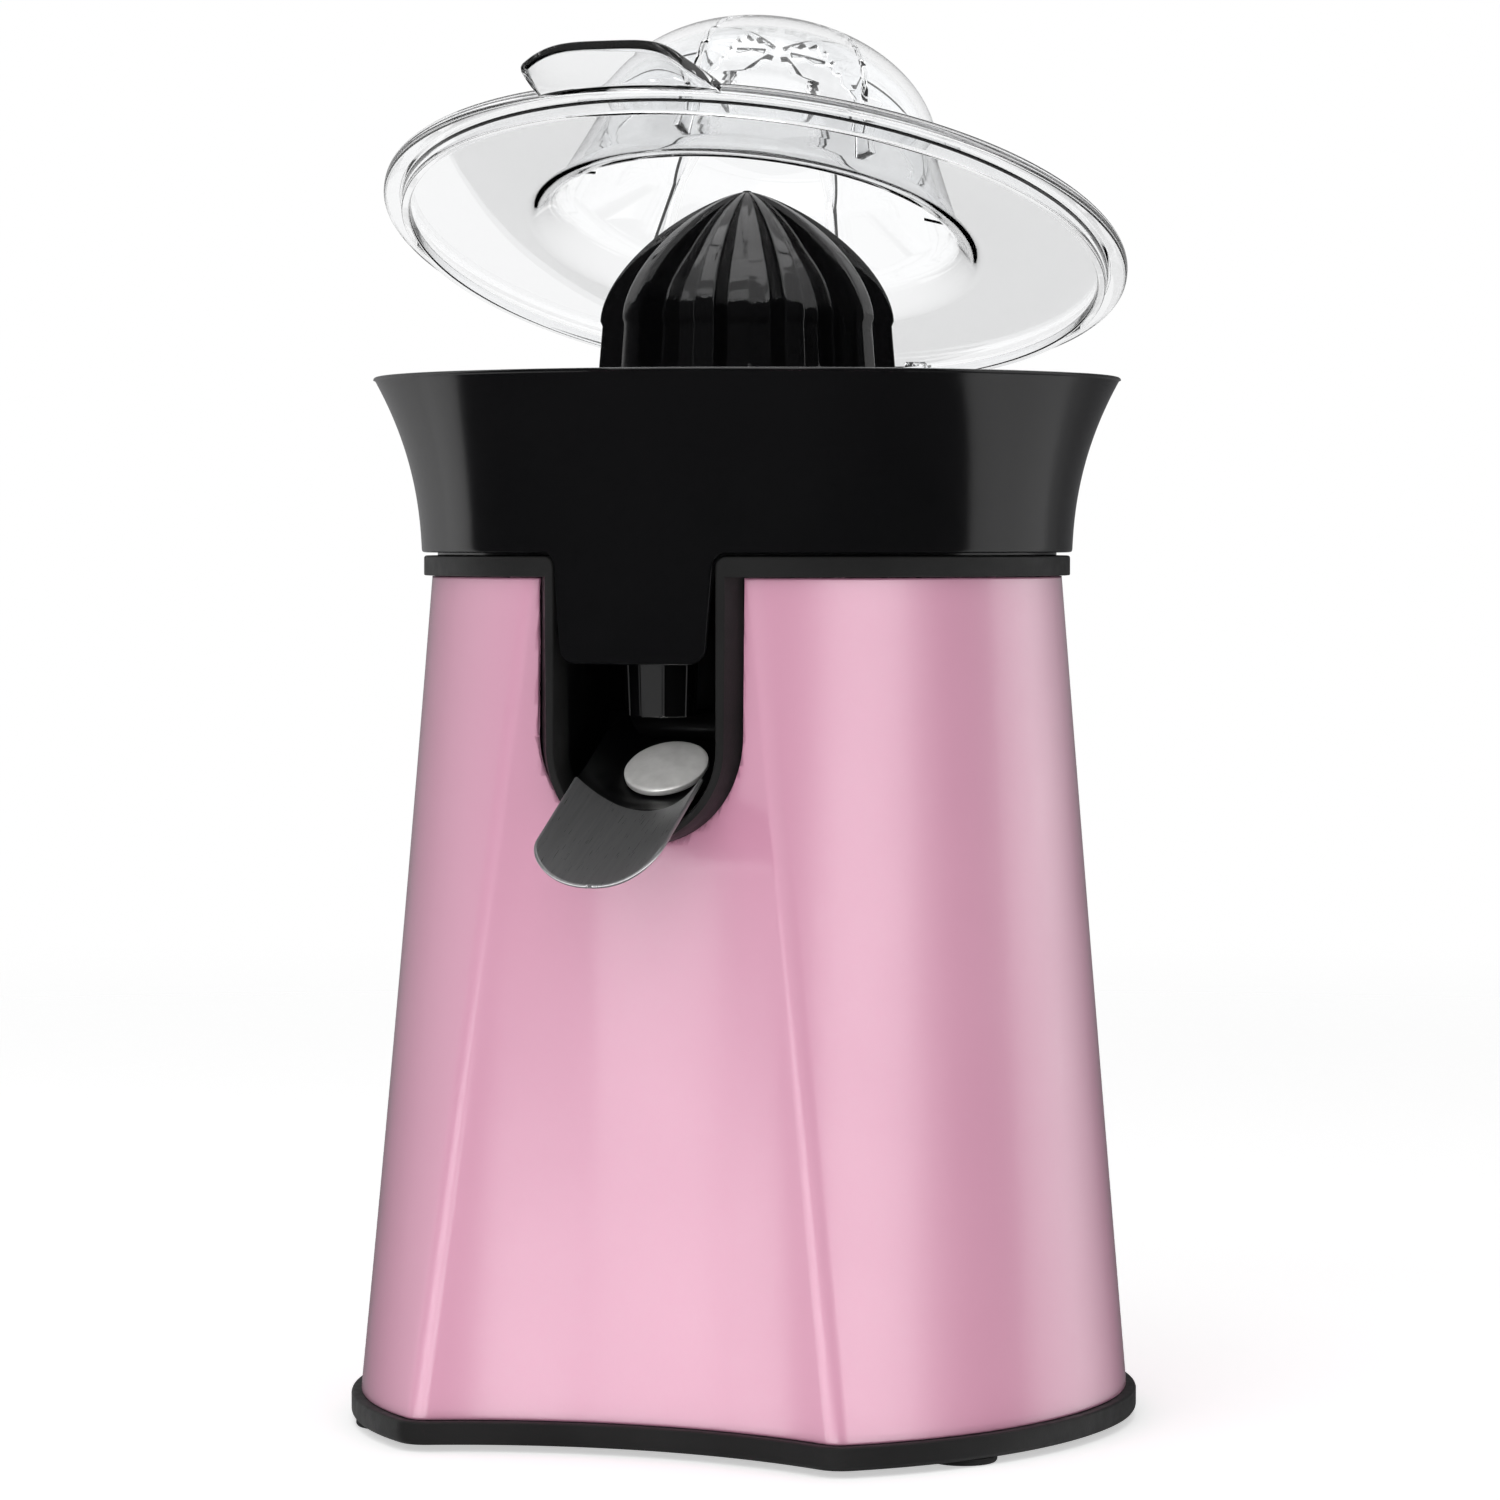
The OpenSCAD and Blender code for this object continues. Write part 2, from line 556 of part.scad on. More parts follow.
module reamer_cone() {
    zs = [214.5, 220, 226, 232, 236, 240, 245, 249.5, 254, 258, 262, 266, 270, 273, 276, 278, reamer_tip_z];
    rings = concat([circle_ring(28, 212), circle_ring(36.6, 212), circle_ring(36.8, 213.4)],
                   [for (z = zs) rib_ring(z)]);
    inner = [circle_ring(26, 214.4), circle_ring(22.5, 249), circle_ring(15, 262), circle_ring(6, 269)];
    all = concat(rings, inner);
    n = reamer_ribs*len(rib_u); nr = len(rings); m = len(all);
    pts = concat([for (r = rings) each r], [[0, 0, reamer_tip_z + 0.3]],
                 [for (r = inner) each r], [[0, 0, 269]]);
    function id(i) = i < nr ? i*n : i*n + 1;
    function band(i, j) = [for (k = [0:n - 1]) let (l = (k + 1) % n)
        each [[id(i) + k, id(i) + l, id(j) + l], [id(i) + k, id(j) + l, id(j) + k]]];
    tip = nr*n; cap = m*n + 1;
    faces = concat([for (i = [0:nr - 2]) each band(i, i + 1)],
        [for (k = [0:n - 1]) [id(nr - 1) + k, id(nr - 1) + (k + 1) % n, tip]],
        [for (i = [nr:m - 2]) each band(i + 1, i)],
        band(nr, 0),
        [for (k = [0:n - 1]) [id(m - 1) + (k + 1) % n, id(m - 1) + k, cap]]);
    color([0.08, 0.08, 0.09]) difference() {
        union() {
            polyhedron(pts, [for (f = faces) [f[2], f[1], f[0]]], convexity = 10);
            translate([0, 0, 221]) cylinder(r = 8, h = 51);
            for (k = [0:3]) rotate(90*k + 20) translate([7, -0.9, 228]) cube([18.2, 1.8, 12]);
        }
        translate([0, 0, 200]) cylinder(r = 8.1/sqrt(3), h = 46.5, $fn = 6);
    }
}

// ---------- juice bowl ----------
function bowl_r(z) = let (t = (z - bowl_bot)/(bowl_top - bowl_bot))
    bowl_low_r + 1.5*t + (bowl_rim_r - bowl_low_r - 1.5)*pow(max(t, 0), 2.2);
bowl_zs = [for (k = [0:14]) bowl_bot + 1 + (bowl_top - bowl_bot - 1.8)*k/14];
function bowl_outer() = concat([[bowl_low_r - 0.8, bowl_bot], [bowl_low_r - 0.2, bowl_bot + 0.3]],
    [for (z = bowl_zs) [bowl_r(z), z]], [[bowl_rim_r - 0.1, bowl_top - 0.3], [bowl_rim_r - 0.6, bowl_top]]);

module apron_face() {
    polygon(concat([[-18.6, 201], [-18.6, 197]],
        [for (k = [0:6]) let (a = 180 + 90*k/6) [-13.2 + 4*cos(a), 176.8 + 4*sin(a)]],
        [for (k = [0:6]) let (a = 270 + 90*k/6) [13.2 + 4*cos(a), 176.8 + 4*sin(a)]],
        [[18.6, 197], [18.6, 201]]));
}

module juice_bowl() {
    color([0.07, 0.07, 0.08]) difference() {
        union() {
            rotate_extrude() polygon(concat(bowl_outer(), [[bowl_rim_r - bowl_t + 0.2, bowl_top], [bowl_rim_r - bowl_t - 0.3, bowl_top - 0.4]],
                [for (k = [14:-1:0]) if (bowl_zs[k] > 204.5) [bowl_r(bowl_zs[k]) - bowl_t, bowl_zs[k]]],
                [[bowl_low_r - bowl_t - 2, 202.5], [13.6, 202.5], [13.6, 221.4], [13, 222], [11.4, 222], [11.4, 199], [13.6, 199],
                 [14.6, 200], [bowl_low_r - bowl_t - 1, 200], [bowl_low_r - bowl_t, 199], [bowl_low_r - bowl_t, bowl_bot]]));
            tube(40, 42.5, 194.5, 200.5);
            tube(bowl_low_r - 5.3, bowl_low_r - 3.6, 194.9, 200.5);
            intersection() {
                tube(71.4, collar_r + 0.2, 172.8, 201);
                along_y(-90, -50) apron_face();
            }
            translate([0, -53.5, 161]) cylinder(r1 = 7.3, r2 = 8.6, h = 39.5);
            translate([-1, -72, 176]) cube([2, 13, 24.5]);
            for (a = [0:30:150]) translate([0, -53.5, 0]) rotate(a + 10) translate([-7.9, -0.4, 163]) cube([15.8, 0.8, 37.5]);
        }
        translate([0, -53.5, 155]) cylinder(r = 5.5, h = 60);
        translate([0, 0, 202.5]) cylinder(r = 11.4, h = 30);
    }
}

module strainer() {
    color([0.1, 0.1, 0.11]) difference() {
        union() {
            tube(14, 67, 206, 208);
            tube(65.4, 67, 206, 210);
            tube(14, 16, 203, 209.5);
            for (r = [22, 60]) tube(r, r + 1.6, 202.6, 206.5);
            for (k = [0:1]) rotate(180*k) translate([64.5, -9, 208.2]) cube([7.4, 18, 1.8]);
        }
        for (k = [0:strainer_slots - 1]) rotate(360*k/strainer_slots + 360/strainer_slots/2) {
            translate([26, -0.8, 200]) cube([12, 1.6, 20]);
            translate([42, -0.9, 200]) cube([15, 1.8, 20]);
        }
    }
}

module hinge_bracket() {
    color([0.08, 0.08, 0.09]) difference() {
        union() {
            translate([-9.7, hinge_y, hinge_z]) rotate([0, 90, 0]) cylinder(r = 4.2, h = 19.4);
            translate([-9.7, 79, 224]) cube([19.4, 13.7, 14.9]);
            translate([-9.7, 84.6, 236]) cube([19.4, 8.1, 3]);
        }
        rotate_extrude() polygon(concat([[0, bowl_bot]], [for (p = bowl_outer()) [p[0] + 0.06, p[1]]], [[0, bowl_top]]));
        translate([0, 0, bowl_top]) cylinder(r = bowl_rim_r + 0.06, h = 6);
        translate([-12, 92.7, 218]) rotate([-24, 0, 0]) cube([24, 20, 30]);
        translate([-20, hinge_y, hinge_z]) rotate([0, 90, 0]) cylinder(r = 1.6 + run, h = 40);
    }
}

module hinge_pin() {
    color([0.75, 0.76, 0.78]) translate([-15.5, hinge_y, hinge_z]) rotate([0, 90, 0]) cylinder(r = 1.6, h = 31);
}

// ---------- clear lid, drawn closed about its hinge and then opened ----------
dome_a = 39.6;          // radius where the cap springs from the neck
dome_c = 23.4;          // height of that circle over the rim
neck_r = 46.3;          // neck radius above the fillet
root_r = 53.2;          // radius where the fillet meets the brim
lid_t = 2.2;
function dome_out(n) = concat(
    [for (k = [0:6]) let (s = 90*k/6) [root_r - (root_r - neck_r)*sin(s)*1, 0.8 + 7.2*(1 - cos(s))]],
    [for (k = [1:3]) [neck_r + (dome_a - neck_r)*k/4, 8 + (dome_c - 8)*k/4]],
    [for (k = [0:n]) let (s = 90*k/n) [dome_a*cos(s), dome_c + (dome_h - dome_c)*sin(s)]]);
function dome_in(n) = concat(
    [for (k = [n:-1:0]) let (s = 90*k/n) [(dome_a - lid_t)*cos(s), dome_c + (dome_h - lid_t - dome_c)*sin(s)]],
    [for (k = [3:-1:1]) [neck_r - lid_t + (dome_a - neck_r)*k/4, 8 + (dome_c - 8)*k/4]],
    [for (k = [6:-1:0]) let (s = 90*k/6) [root_r - lid_t - (root_r - neck_r)*sin(s)*1, -1.2 + 9.2*(1 - cos(s))]]);
function in_r(h) = h > dome_c ? (dome_a - lid_t)*sqrt(max(0, 1 - pow((h - dome_c)/(dome_h - lid_t - dome_c), 2)))
    : h > 8 ? neck_r - lid_t + (dome_a - neck_r)*(h - 8)/(dome_c - 8) : neck_r - lid_t;

// Inner edge of a grip rib: saw teeth over the crown, a plain blade below.
rib_edge = [[3.5, 46.8], [6.3, 47.3], [9, 46], [11.8, 46.4], [14, 44], [17.5, 44], [18.5, 40.6], [21.7, 40.4], [21.6, 37],
            [25, 36.8], [24.7, 33.8], [28, 32.8], [28.4, 30.2], [34.5, 23.5], [38, 10.5]];

module grip_rib() {
    f = (dome_h - lid_t)/48.2;
    rotate([90, 0, 0]) translate([0, 0, -0.9]) linear_extrude(1.8, convexity = 6) polygon(concat(
        [[in_r(10) + 0.6, 10*f], [in_r(16) + 0.6, 16]],
        [for (k = [0:10]) let (s = 8.6*k) [(dome_a - lid_t + 0.6)*cos(s), dome_c + (dome_h - lid_t + 0.6 - dome_c)*sin(s)]],
        [for (p = rib_edge) [p[0], p[1]*f]]));
}

function tab_pt(s, u, off) = let (x = u*(20.8 - 2.6*pow(s, 1.5)))
    [x, -(1 - s)*sqrt(pow(84.3, 2) - x*x) - s*100, 0.1 - off + pow(s, 1.2)*(3.2 - 4.8*pow(u, 4))];

module lid() {
    color([0.85, 0.88, 0.9, 0.35]) translate([0, hinge_y, hinge_z]) rotate([-lid_open, 0, 0]) difference() {
        union() {
            translate([0, -hinge_y, 0]) {
                rotate_extrude() polygon(concat(
                    [[79, -4.2], [81, -4.2], [81, -1.2], [lid_r - 0.4, -1.2], [lid_r, -0.8], [lid_r, 0.9], [lid_r - 0.4, 1.3], [81.6, 1.3], [81, 0.8]],
                    dome_out(12), dome_in(12), [[79, -1.2]]));
                for (k = [0:grip_ribs - 1]) rotate(360*k/grip_ribs - 96) grip_rib();
                slab([for (i = [0:6]) [for (j = [-8:8]) tab_pt(i/6, j/8, -1.1)]],
                     [for (i = [0:6]) [for (j = [-8:8]) tab_pt(i/6, j/8, 1.1)]]);
            }
            for (s = [-1, 1]) {
                translate([s*12.8 - 2.7, 0, 0]) rotate([0, 90, 0]) cylinder(r = 4.2, h = 5.4);
                translate([s*12.8 - 2.7, -7.5, -1.2]) cube([5.4, 7.5, 4.4]);
            }
        }
        translate([-10.1, 0, 0]) rotate([0, 90, 0]) cylinder(r = 4.8, h = 20.2);
        translate([-20, 0, 0]) rotate([0, 90, 0]) cylinder(r = 1.6, h = 40);
    }
}

// ---------- spout lever, drawn level about its pivot and then sloped ----------
module on_lever() { translate([0, piv_y, piv_z]) rotate([spout_slope, 0, 0]) children(); }
edge_w = 6.8;
function trough(x, floor_w, e) = floor_w + (edge_w - floor_w)*pow(abs(x)/spout_half_w, e);

function body_pt(u, v, off) = let (x = v*spout_half_w, e = u < 27 ? 5 : 5 - 2.8*(u - 27)/9, f = u < 27 ? -2.6 : -2.6 + 1.3*(u - 27)/9,
        rim = u < 14 ? 0.55 + 0.45*(u + 3)/17 : 1)
    [x*(1 + off*0.07), -u, min(trough(x, f, e), f + (edge_w - f)*rim) - off*2];

module spout_body() {
    color([0.06, 0.06, 0.07]) on_lever() difference() {
        union() {
            slab([for (i = [0:13]) [for (j = [-12:12]) body_pt(i*3 - 3, j/12, 0)]],
                 [for (i = [0:13]) [for (j = [-12:12]) body_pt(i*3 - 3, j/12, 1)]]);
            translate([-18.6, 0, 0]) rotate([0, 90, 0]) cylinder(r = 3.6, h = 37.2);
            translate([0, -17.6, 0]) rotate([3.5, 0, 0]) translate([0, 0, -4]) cylinder(r = 7, h = 1.87);
        }
        translate([-30, 0, 0]) rotate([0, 90, 0]) cylinder(r = 2 + run, h = 60);
    }
}

function lip_floor(u) = -1.3 + 3.5*(u - 36)/32.6;
function lip_half(u) = u < 58 ? spout_half_w : spout_half_w*pow(max(0, 1 - pow((u - 58)/10.6, 2.3)), 1/2.3);
function lip_u(i) = i < 6 ? 36 + 22*i/6 : 58 + 10.55*sin(90*(i - 6)/10);
function lip_pt(i, v, off) = let (u = lip_u(i), x = v*lip_half(u))
    [x, -u, trough(x, lip_floor(u), 2.2) - off*spout_t];

module spout_lip() {
    color([0.6, 0.61, 0.62]) on_lever()
        slab([for (i = [0:16]) [for (j = [-12:12]) lip_pt(i, j/12, 0)]],
             [for (i = [0:16]) [for (j = [-12:12]) lip_pt(i, j/12, 1)]]);
}

module stopper_gasket() {
    color([0.1, 0.1, 0.1]) on_lever() translate([0, -17.6, 0]) rotate([3.5, 0, 0])
        rotate_extrude() polygon([[0, -2.05], [7.8, -2.05], [8.2, -1.6], [8.2, -1.2], [0, -1.2]]);
}

module stopper_disc() {
    color([0.8, 0.8, 0.8]) on_lever() translate([0, -17.6, 0]) rotate([3.5, 0, 0])
        rotate_extrude() polygon(concat([[0, -1.2], [9.2, -1.2], [9.5, -0.9]],
            [for (k = [0:8]) let (s = 90*k/8) [9.4*cos(s), -0.6 + 1.5*sin(s)]]));
}

module spout_pin() {
    color([0.75, 0.76, 0.78]) translate([-22.9, piv_y, piv_z]) rotate([0, 90, 0]) cylinder(r = 2, h = 45.8);
}

base_tray();
rubber_feet();
tie_screws();
housing_front();
housing_rear();
housing_left();
housing_right();
top_deck();
spout_bay();
cord_grommet();
motor_stator();
motor_coil();
motor_brackets();
motor_screws();
gearbox_plate();
gearbox_cover();
gearbox_screws();
deck_pillars();
idler_axle();
lower_bush();
upper_bush();
spindle_seal();
return_spring();
switch_body();
switch_plunger();
motor_rotor();
motor_pinion();
cooling_fan();
idler_gear();
output_gear();
thrust_pad();
drive_spindle();
reamer_cone();
juice_bowl();
strainer();
hinge_bracket();
hinge_pin();
lid();
spout_body();
spout_lip();
stopper_disc();
stopper_gasket();
spout_pin();
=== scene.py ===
import bpy
import bmesh
import json
import math
import numpy as np
from mathutils import Matrix, Vector


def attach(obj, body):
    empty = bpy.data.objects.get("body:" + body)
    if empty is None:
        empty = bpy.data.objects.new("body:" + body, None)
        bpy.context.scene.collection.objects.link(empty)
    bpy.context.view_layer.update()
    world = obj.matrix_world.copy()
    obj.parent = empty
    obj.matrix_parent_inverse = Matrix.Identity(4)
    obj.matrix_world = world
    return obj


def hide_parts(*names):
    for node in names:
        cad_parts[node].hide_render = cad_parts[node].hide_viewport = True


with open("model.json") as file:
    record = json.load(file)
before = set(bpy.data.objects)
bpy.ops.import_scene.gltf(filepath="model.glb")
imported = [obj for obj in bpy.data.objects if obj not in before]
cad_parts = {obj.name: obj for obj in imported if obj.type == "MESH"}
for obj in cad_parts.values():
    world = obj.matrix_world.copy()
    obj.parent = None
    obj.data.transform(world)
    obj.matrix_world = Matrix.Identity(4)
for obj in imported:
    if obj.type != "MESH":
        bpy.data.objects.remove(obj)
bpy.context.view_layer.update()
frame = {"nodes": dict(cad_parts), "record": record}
scene = bpy.context.scene
scene.view_settings.view_transform = "Standard"
scene.view_settings.look = "None"

# ------------------------------------------------------------------ camera
cam_data = bpy.data.cameras.new("camera")
cam = bpy.data.objects.new("camera", cam_data)
scene.collection.objects.link(cam)
cam_data.sensor_fit = "HORIZONTAL"
cam_data.sensor_width = 36.0
cam_data.lens = 129.19
cam.location = (0.42592, -1.15508, 0.20058)
cam.rotation_euler = (math.radians(90 - 2.275), 0, math.radians(20.21))
cam_data.clip_start, cam_data.clip_end = 0.05, 60
scene.camera = cam

# ------------------------------------------------------------------ mesh helpers, all in millimetres
def link_mesh(name, verts, faces):
    me = bpy.data.meshes.new(name)
    me.from_pydata([tuple(float(c) for c in v) for v in verts], [], [tuple(f) for f in faces])
    me.update()
    o = bpy.data.objects.new(name, me)
    scene.collection.objects.link(o)
    clean(o)
    return o


def clean(o, dist=2e-4):
    bm = bmesh.new()
    bm.from_mesh(o.data)
    bmesh.ops.remove_doubles(bm, verts=bm.verts, dist=dist)
    bmesh.ops.dissolve_degenerate(bm, edges=bm.edges, dist=dist)
    bmesh.ops.recalc_face_normals(bm, faces=bm.faces)
    bm.to_mesh(o.data)
    bm.free()


def grid_faces(nr, nc, close_r=False, close_c=False, base=0):
    out = []
    for r in range(nr if close_r else nr - 1):
        r2 = (r + 1) % nr
        for c in range(nc if close_c else nc - 1):
            c2 = (c + 1) % nc
            out.append((base + r * nc + c, base + r * nc + c2, base + r2 * nc + c2, base + r2 * nc + c))
    return out


def loft(name, rings, close_rings=False, caps=True):
    """rings: list of closed rings with the same number of points."""
    rings = [np.asarray(r, float) for r in rings]
    n = len(rings[0])
    verts = np.vstack(rings)
    faces = grid_faces(len(rings), n, close_r=close_rings, close_c=True)
    if caps and not close_rings:
        faces.append(tuple(range(n)))
        faces.append(tuple((len(rings) - 1) * n + k for k in range(n - 1, -1, -1)))
    return link_mesh(name, verts, faces)


def fil(pts, radius=0.4, n=4, closed=True):
    """Rounds the corners of a 2-D outline. A point may carry its own radius as a third number."""
    P = [np.array(p[:2], float) for p in pts]
    R = [p[2] if len(p) > 2 else radius for p in pts]
    out = []
    m = len(P)
    for i in range(m):
        if not closed and i in (0, m - 1):
            out.append(P[i]); continue
        a, b, c = P[i - 1], P[i], P[(i + 1) % m]
        u, v = a - b, c - b
        lu, lv = np.linalg.norm(u), np.linalg.norm(v)
        u, v = u / lu, v / lv
        cosang = float(np.clip(u @ v, -1, 1))
        ang = math.acos(cosang)
        if R[i] <= 0 or ang > math.radians(172):
            out.append(b); continue
        t = min(R[i] / math.tan(ang / 2), 0.48 * lu, 0.48 * lv)
        r = t * math.tan(ang / 2)
        centre = b + (u + v) / np.linalg.norm(u + v) * (r / math.sin(ang / 2))
        p0, p1 = b + u * t, b + v * t
        a0 = math.atan2(*(p0 - centre)[::-1])
        a1 = math.atan2(*(p1 - centre)[::-1])
        d = (a1 - a0 + math.pi) % (2 * math.pi) - math.pi
        for k in range(n + 1):
            w = a0 + d * k / n
            out.append(centre + r * np.array([math.cos(w), math.sin(w)]))
    return [tuple(p) for p in out]


def lathe(name, profile, n=192, closed=True, centre=(0, 0)):
    """Turns a closed (r, z) outline about the Z axis."""
    prof = np.array([(max(p[0], 0.0), p[1]) for p in profile], float)
    m = len(prof)
    ang = np.arange(n) * 2 * math.pi / n
    verts = [(centre[0] + r * math.cos(a), centre[1] + r * math.sin(a), z) for (r, z) in prof for a in ang]
    faces = []
    for j in range(m if closed else m - 1):
        k = (j + 1) % m
        if prof[j][0] < 1e-9 and prof[k][0] < 1e-9:
            continue
        for i in range(n):
            i2 = (i + 1) % n
            faces.append((j * n + i, j * n + i2, k * n + i2, k * n + i))
    return link_mesh(name, verts, faces)


def prism(name, outline, z0, z1, bevel=0.3, n=3):
    """Extrudes a closed outline along Z with rounded rims."""
    o = np.array(outline, float)
    if poly_area(o) < 0:
        o = o[::-1]
    rings = []
    for k in range(n + 1):
        a = math.pi / 2 * k / n
        rings.append(up(shrink(o, bevel * (1 - math.sin(a))), z0 + bevel * (1 - math.cos(a))))
    for k in range(n, -1, -1):
        a = math.pi / 2 * k / n
        rings.append(up(shrink(o, bevel * (1 - math.sin(a))), z1 - bevel * (1 - math.cos(a))))
    return loft(name, rings)


def poly_area(o):
    x, y = o[:, 0], o[:, 1]
    return 0.5 * float(np.sum(x * np.roll(y, -1) - np.roll(x, -1) * y))


def normals2(o):
    d = np.roll(o, -1, 0) - np.roll(o, 1, 0)
    nn = np.stack([d[:, 1], -d[:, 0]], 1)
    return nn / np.linalg.norm(nn, axis=1)[:, None]


def shrink(o, t):
    return o - t * normals2(o)


def up(o, z):
    return np.column_stack([o, np.full(len(o), float(z))])


def modify(o, kind, **kw):
    m = o.modifiers.new(kind.lower(), kind)
    for k, v in kw.items():
        setattr(m, k, v)
    dg = bpy.context.evaluated_depsgraph_get()
    me = bpy.data.meshes.new_from_object(o.evaluated_get(dg))
    o.modifiers.clear()
    old = o.data
    o.data = me
    bpy.data.meshes.remove(old)
    return o


def boolean(a, b, op="DIFFERENCE", solver="EXACT", keep=False):
    modify(a, "BOOLEAN", object=b, operation=op, solver=solver)
    if not keep:
        drop(b)
    return a


def drop(*objs):
    for b in objs:
        me = b.data
        bpy.data.objects.remove(b)
        if me.users == 0:
            bpy.data.meshes.remove(me)


def join(name, *objs):
    """One mesh from several."""
    bm = bmesh.new()
    for o in objs:
        me = o.data.copy()
        me.transform(o.matrix_world)
        bm.from_mesh(me)
        bpy.data.meshes.remove(me)
    me = bpy.data.meshes.new(name)
    bm.to_mesh(me)
    bm.free()
    drop(*objs)
    o = bpy.data.objects.new(name, me)
    scene.collection.objects.link(o)
    return o


def moved(o, m):
    o.data.transform(m)
    return o


def shift(x, y, z):
    return Matrix.Translation((x, y, z))


def rot(deg, axis):
    return Matrix.Rotation(math.radians(deg), 4, axis)


def box_mesh(name, lo, hi, bevel=0.4, seg=3):
    x0, y0, z0 = lo
    x1, y1, z1 = hi
    v = [(x, y, z) for z in (z0, z1) for y in (y0, y1) for x in (x0, x1)]
    f = [(0, 2, 3, 1), (4, 5, 7, 6), (0, 1, 5, 4), (2, 6, 7, 3), (0, 4, 6, 2), (1, 3, 7, 5)]
    o = link_mesh(name, v, f)
    if bevel > 0:
        modify(o, "BEVEL", width=bevel, segments=seg, limit_method="ANGLE")
    return o


def from_node(node, bevel=0.25, seg=2, planar=1.5, angle=32):
    """A bevelled copy of a CAD node's mesh, in millimetres."""
    me = frame["nodes"][node].data.copy()
    me.materials.clear()
    me.transform(Matrix.Scale(1000, 4))
    o = bpy.data.objects.new(node + "_look", me)
    scene.collection.objects.link(o)
    clean(o, 1e-3)
    if planar:
        bm = bmesh.new()
        bm.from_mesh(me)
        bmesh.ops.dissolve_limit(bm, angle_limit=math.radians(planar), verts=bm.verts, edges=bm.edges)
        bm.to_mesh(me)
        bm.free()
    if bevel:
        modify(o, "BEVEL", width=bevel, segments=seg, limit_method="ANGLE", angle_limit=math.radians(angle), use_clamp_overlap=True)
    return o


def done(o, name, body, material, nodes=(), angle=32, smooth=True):
    """Scales a millimetre mesh to metres, shades it and hangs it on its body."""
    o.name = name
    me = o.data
    me.name = name
    me.transform(Matrix.Scale(0.001, 4))
    me.materials.clear()
    me.materials.append(material)
    me.polygons.foreach_set("material_index", [0] * len(me.polygons))
    if smooth:
        me.polygons.foreach_set("use_smooth", [True] * len(me.polygons))
        if angle:
            me.set_sharp_from_angle(angle=math.radians(angle))
    me.update()
    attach(o, body)
    if nodes:
        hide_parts(*nodes)
    return o


# ------------------------------------------------------------------ materials
def lin(c):
    return c / 12.92 if c <= 0.04045 else ((c + 0.055) / 1.055) ** 2.4


def rgb(r, g, b):
    return (lin(r / 255), lin(g / 255), lin(b / 255), 1.0)


def material(name, colour, rough, metallic=0.0, **sockets):
    m = bpy.data.materials.new(name)
    m.use_nodes = True
    p = m.node_tree.nodes["Principled BSDF"]
    p.inputs["Base Color"].default_value = colour
    p.inputs["Roughness"].default_value = rough
    p.inputs["Metallic"].default_value = metallic
    for k, v in sockets.items():
        p.inputs[k.replace("_", " ")].default_value = v
    m.diffuse_color = colour
    return m


def coords(m, scale=(1, 1, 1), turn=(0, 0, 0)):
    nt = m.node_tree
    tc = nt.nodes.new("ShaderNodeTexCoord")
    mp = nt.nodes.new("ShaderNodeMapping")
    mp.inputs["Scale"].default_value = scale
    mp.inputs["Rotation"].default_value = turn
    nt.links.new(tc.outputs["Object"], mp.inputs["Vector"])
    return mp.outputs["Vector"]


def noise(m, vec, scale, detail=3.0, rough=0.5):
    n = m.node_tree.nodes.new("ShaderNodeTexNoise")
    n.inputs["Scale"].default_value = scale
    n.inputs["Detail"].default_value = detail
    n.inputs["Roughness"].default_value = rough
    m.node_tree.links.new(vec, n.inputs["Vector"])
    return n.outputs["Fac"]


def spread(m, fac, lo, hi, a=0.3, b=0.7):
    r = m.node_tree.nodes.new("ShaderNodeMapRange")
    r.inputs["From Min"].default_value = a
    r.inputs["From Max"].default_value = b
    r.inputs["To Min"].default_value = lo
    r.inputs["To Max"].default_value = hi
    m.node_tree.links.new(fac, r.inputs["Value"])
    return r.outputs["Result"]


def ramp(m, fac, c0, c1, a=0.3, b=0.7):
    r = m.node_tree.nodes.new("ShaderNodeValToRGB")
    r.color_ramp.elements[0].position = a
    r.color_ramp.elements[0].color = c0
    r.color_ramp.elements[1].position = b
    r.color_ramp.elements[1].color = c1
    m.node_tree.links.new(fac, r.inputs["Fac"])
    return r.outputs["Color"]


def put(m, socket, value):
    m.node_tree.links.new(value, m.node_tree.nodes["Principled BSDF"].inputs[socket])


def bump(m, height, strength, distance, coat=False):
    b = m.node_tree.nodes.new("ShaderNodeBump")
    b.inputs["Strength"].default_value = strength
    b.inputs["Distance"].default_value = distance
    m.node_tree.links.new(height, b.inputs["Height"])
    put(m, "Normal", b.outputs["Normal"])
    if coat:
        put(m, "Coat Normal", b.outputs["Normal"])
    return b


# pastel lacquer over sheet metal: clear coat, faint orange peel, faint shift of tone
PINK = material("pink_lacquer", rgb(229, 163, 191), 0.32, Coat_Weight=1.0, Coat_Roughness=0.11, Coat_IOR=1.6)
v = coords(PINK)
put(PINK, "Base Color", ramp(PINK, noise(PINK, v, 9.0, 2.0), rgb(226, 159, 188), rgb(232, 167, 194)))
put(PINK, "Roughness", spread(PINK, noise(PINK, v, 55.0, 3.0), 0.28, 0.36))
bump(PINK, noise(PINK, v, 420.0, 2.0), 0.05, 0.0004)

# deep gloss moulding
GLOSS = material("gloss_black", rgb(13, 13, 14), 0.07, IOR=1.5)
v = coords(GLOSS)
put(GLOSS, "Base Color", ramp(GLOSS, noise(GLOSS, v, 22.0, 3.0), rgb(10, 10, 11), rgb(15, 15, 16)))
put(GLOSS, "Roughness", spread(GLOSS, noise(GLOSS, v, 90.0, 4.0), 0.05, 0.095))
bump(GLOSS, noise(GLOSS, v, 160.0, 2.0), 0.03, 0.0003)

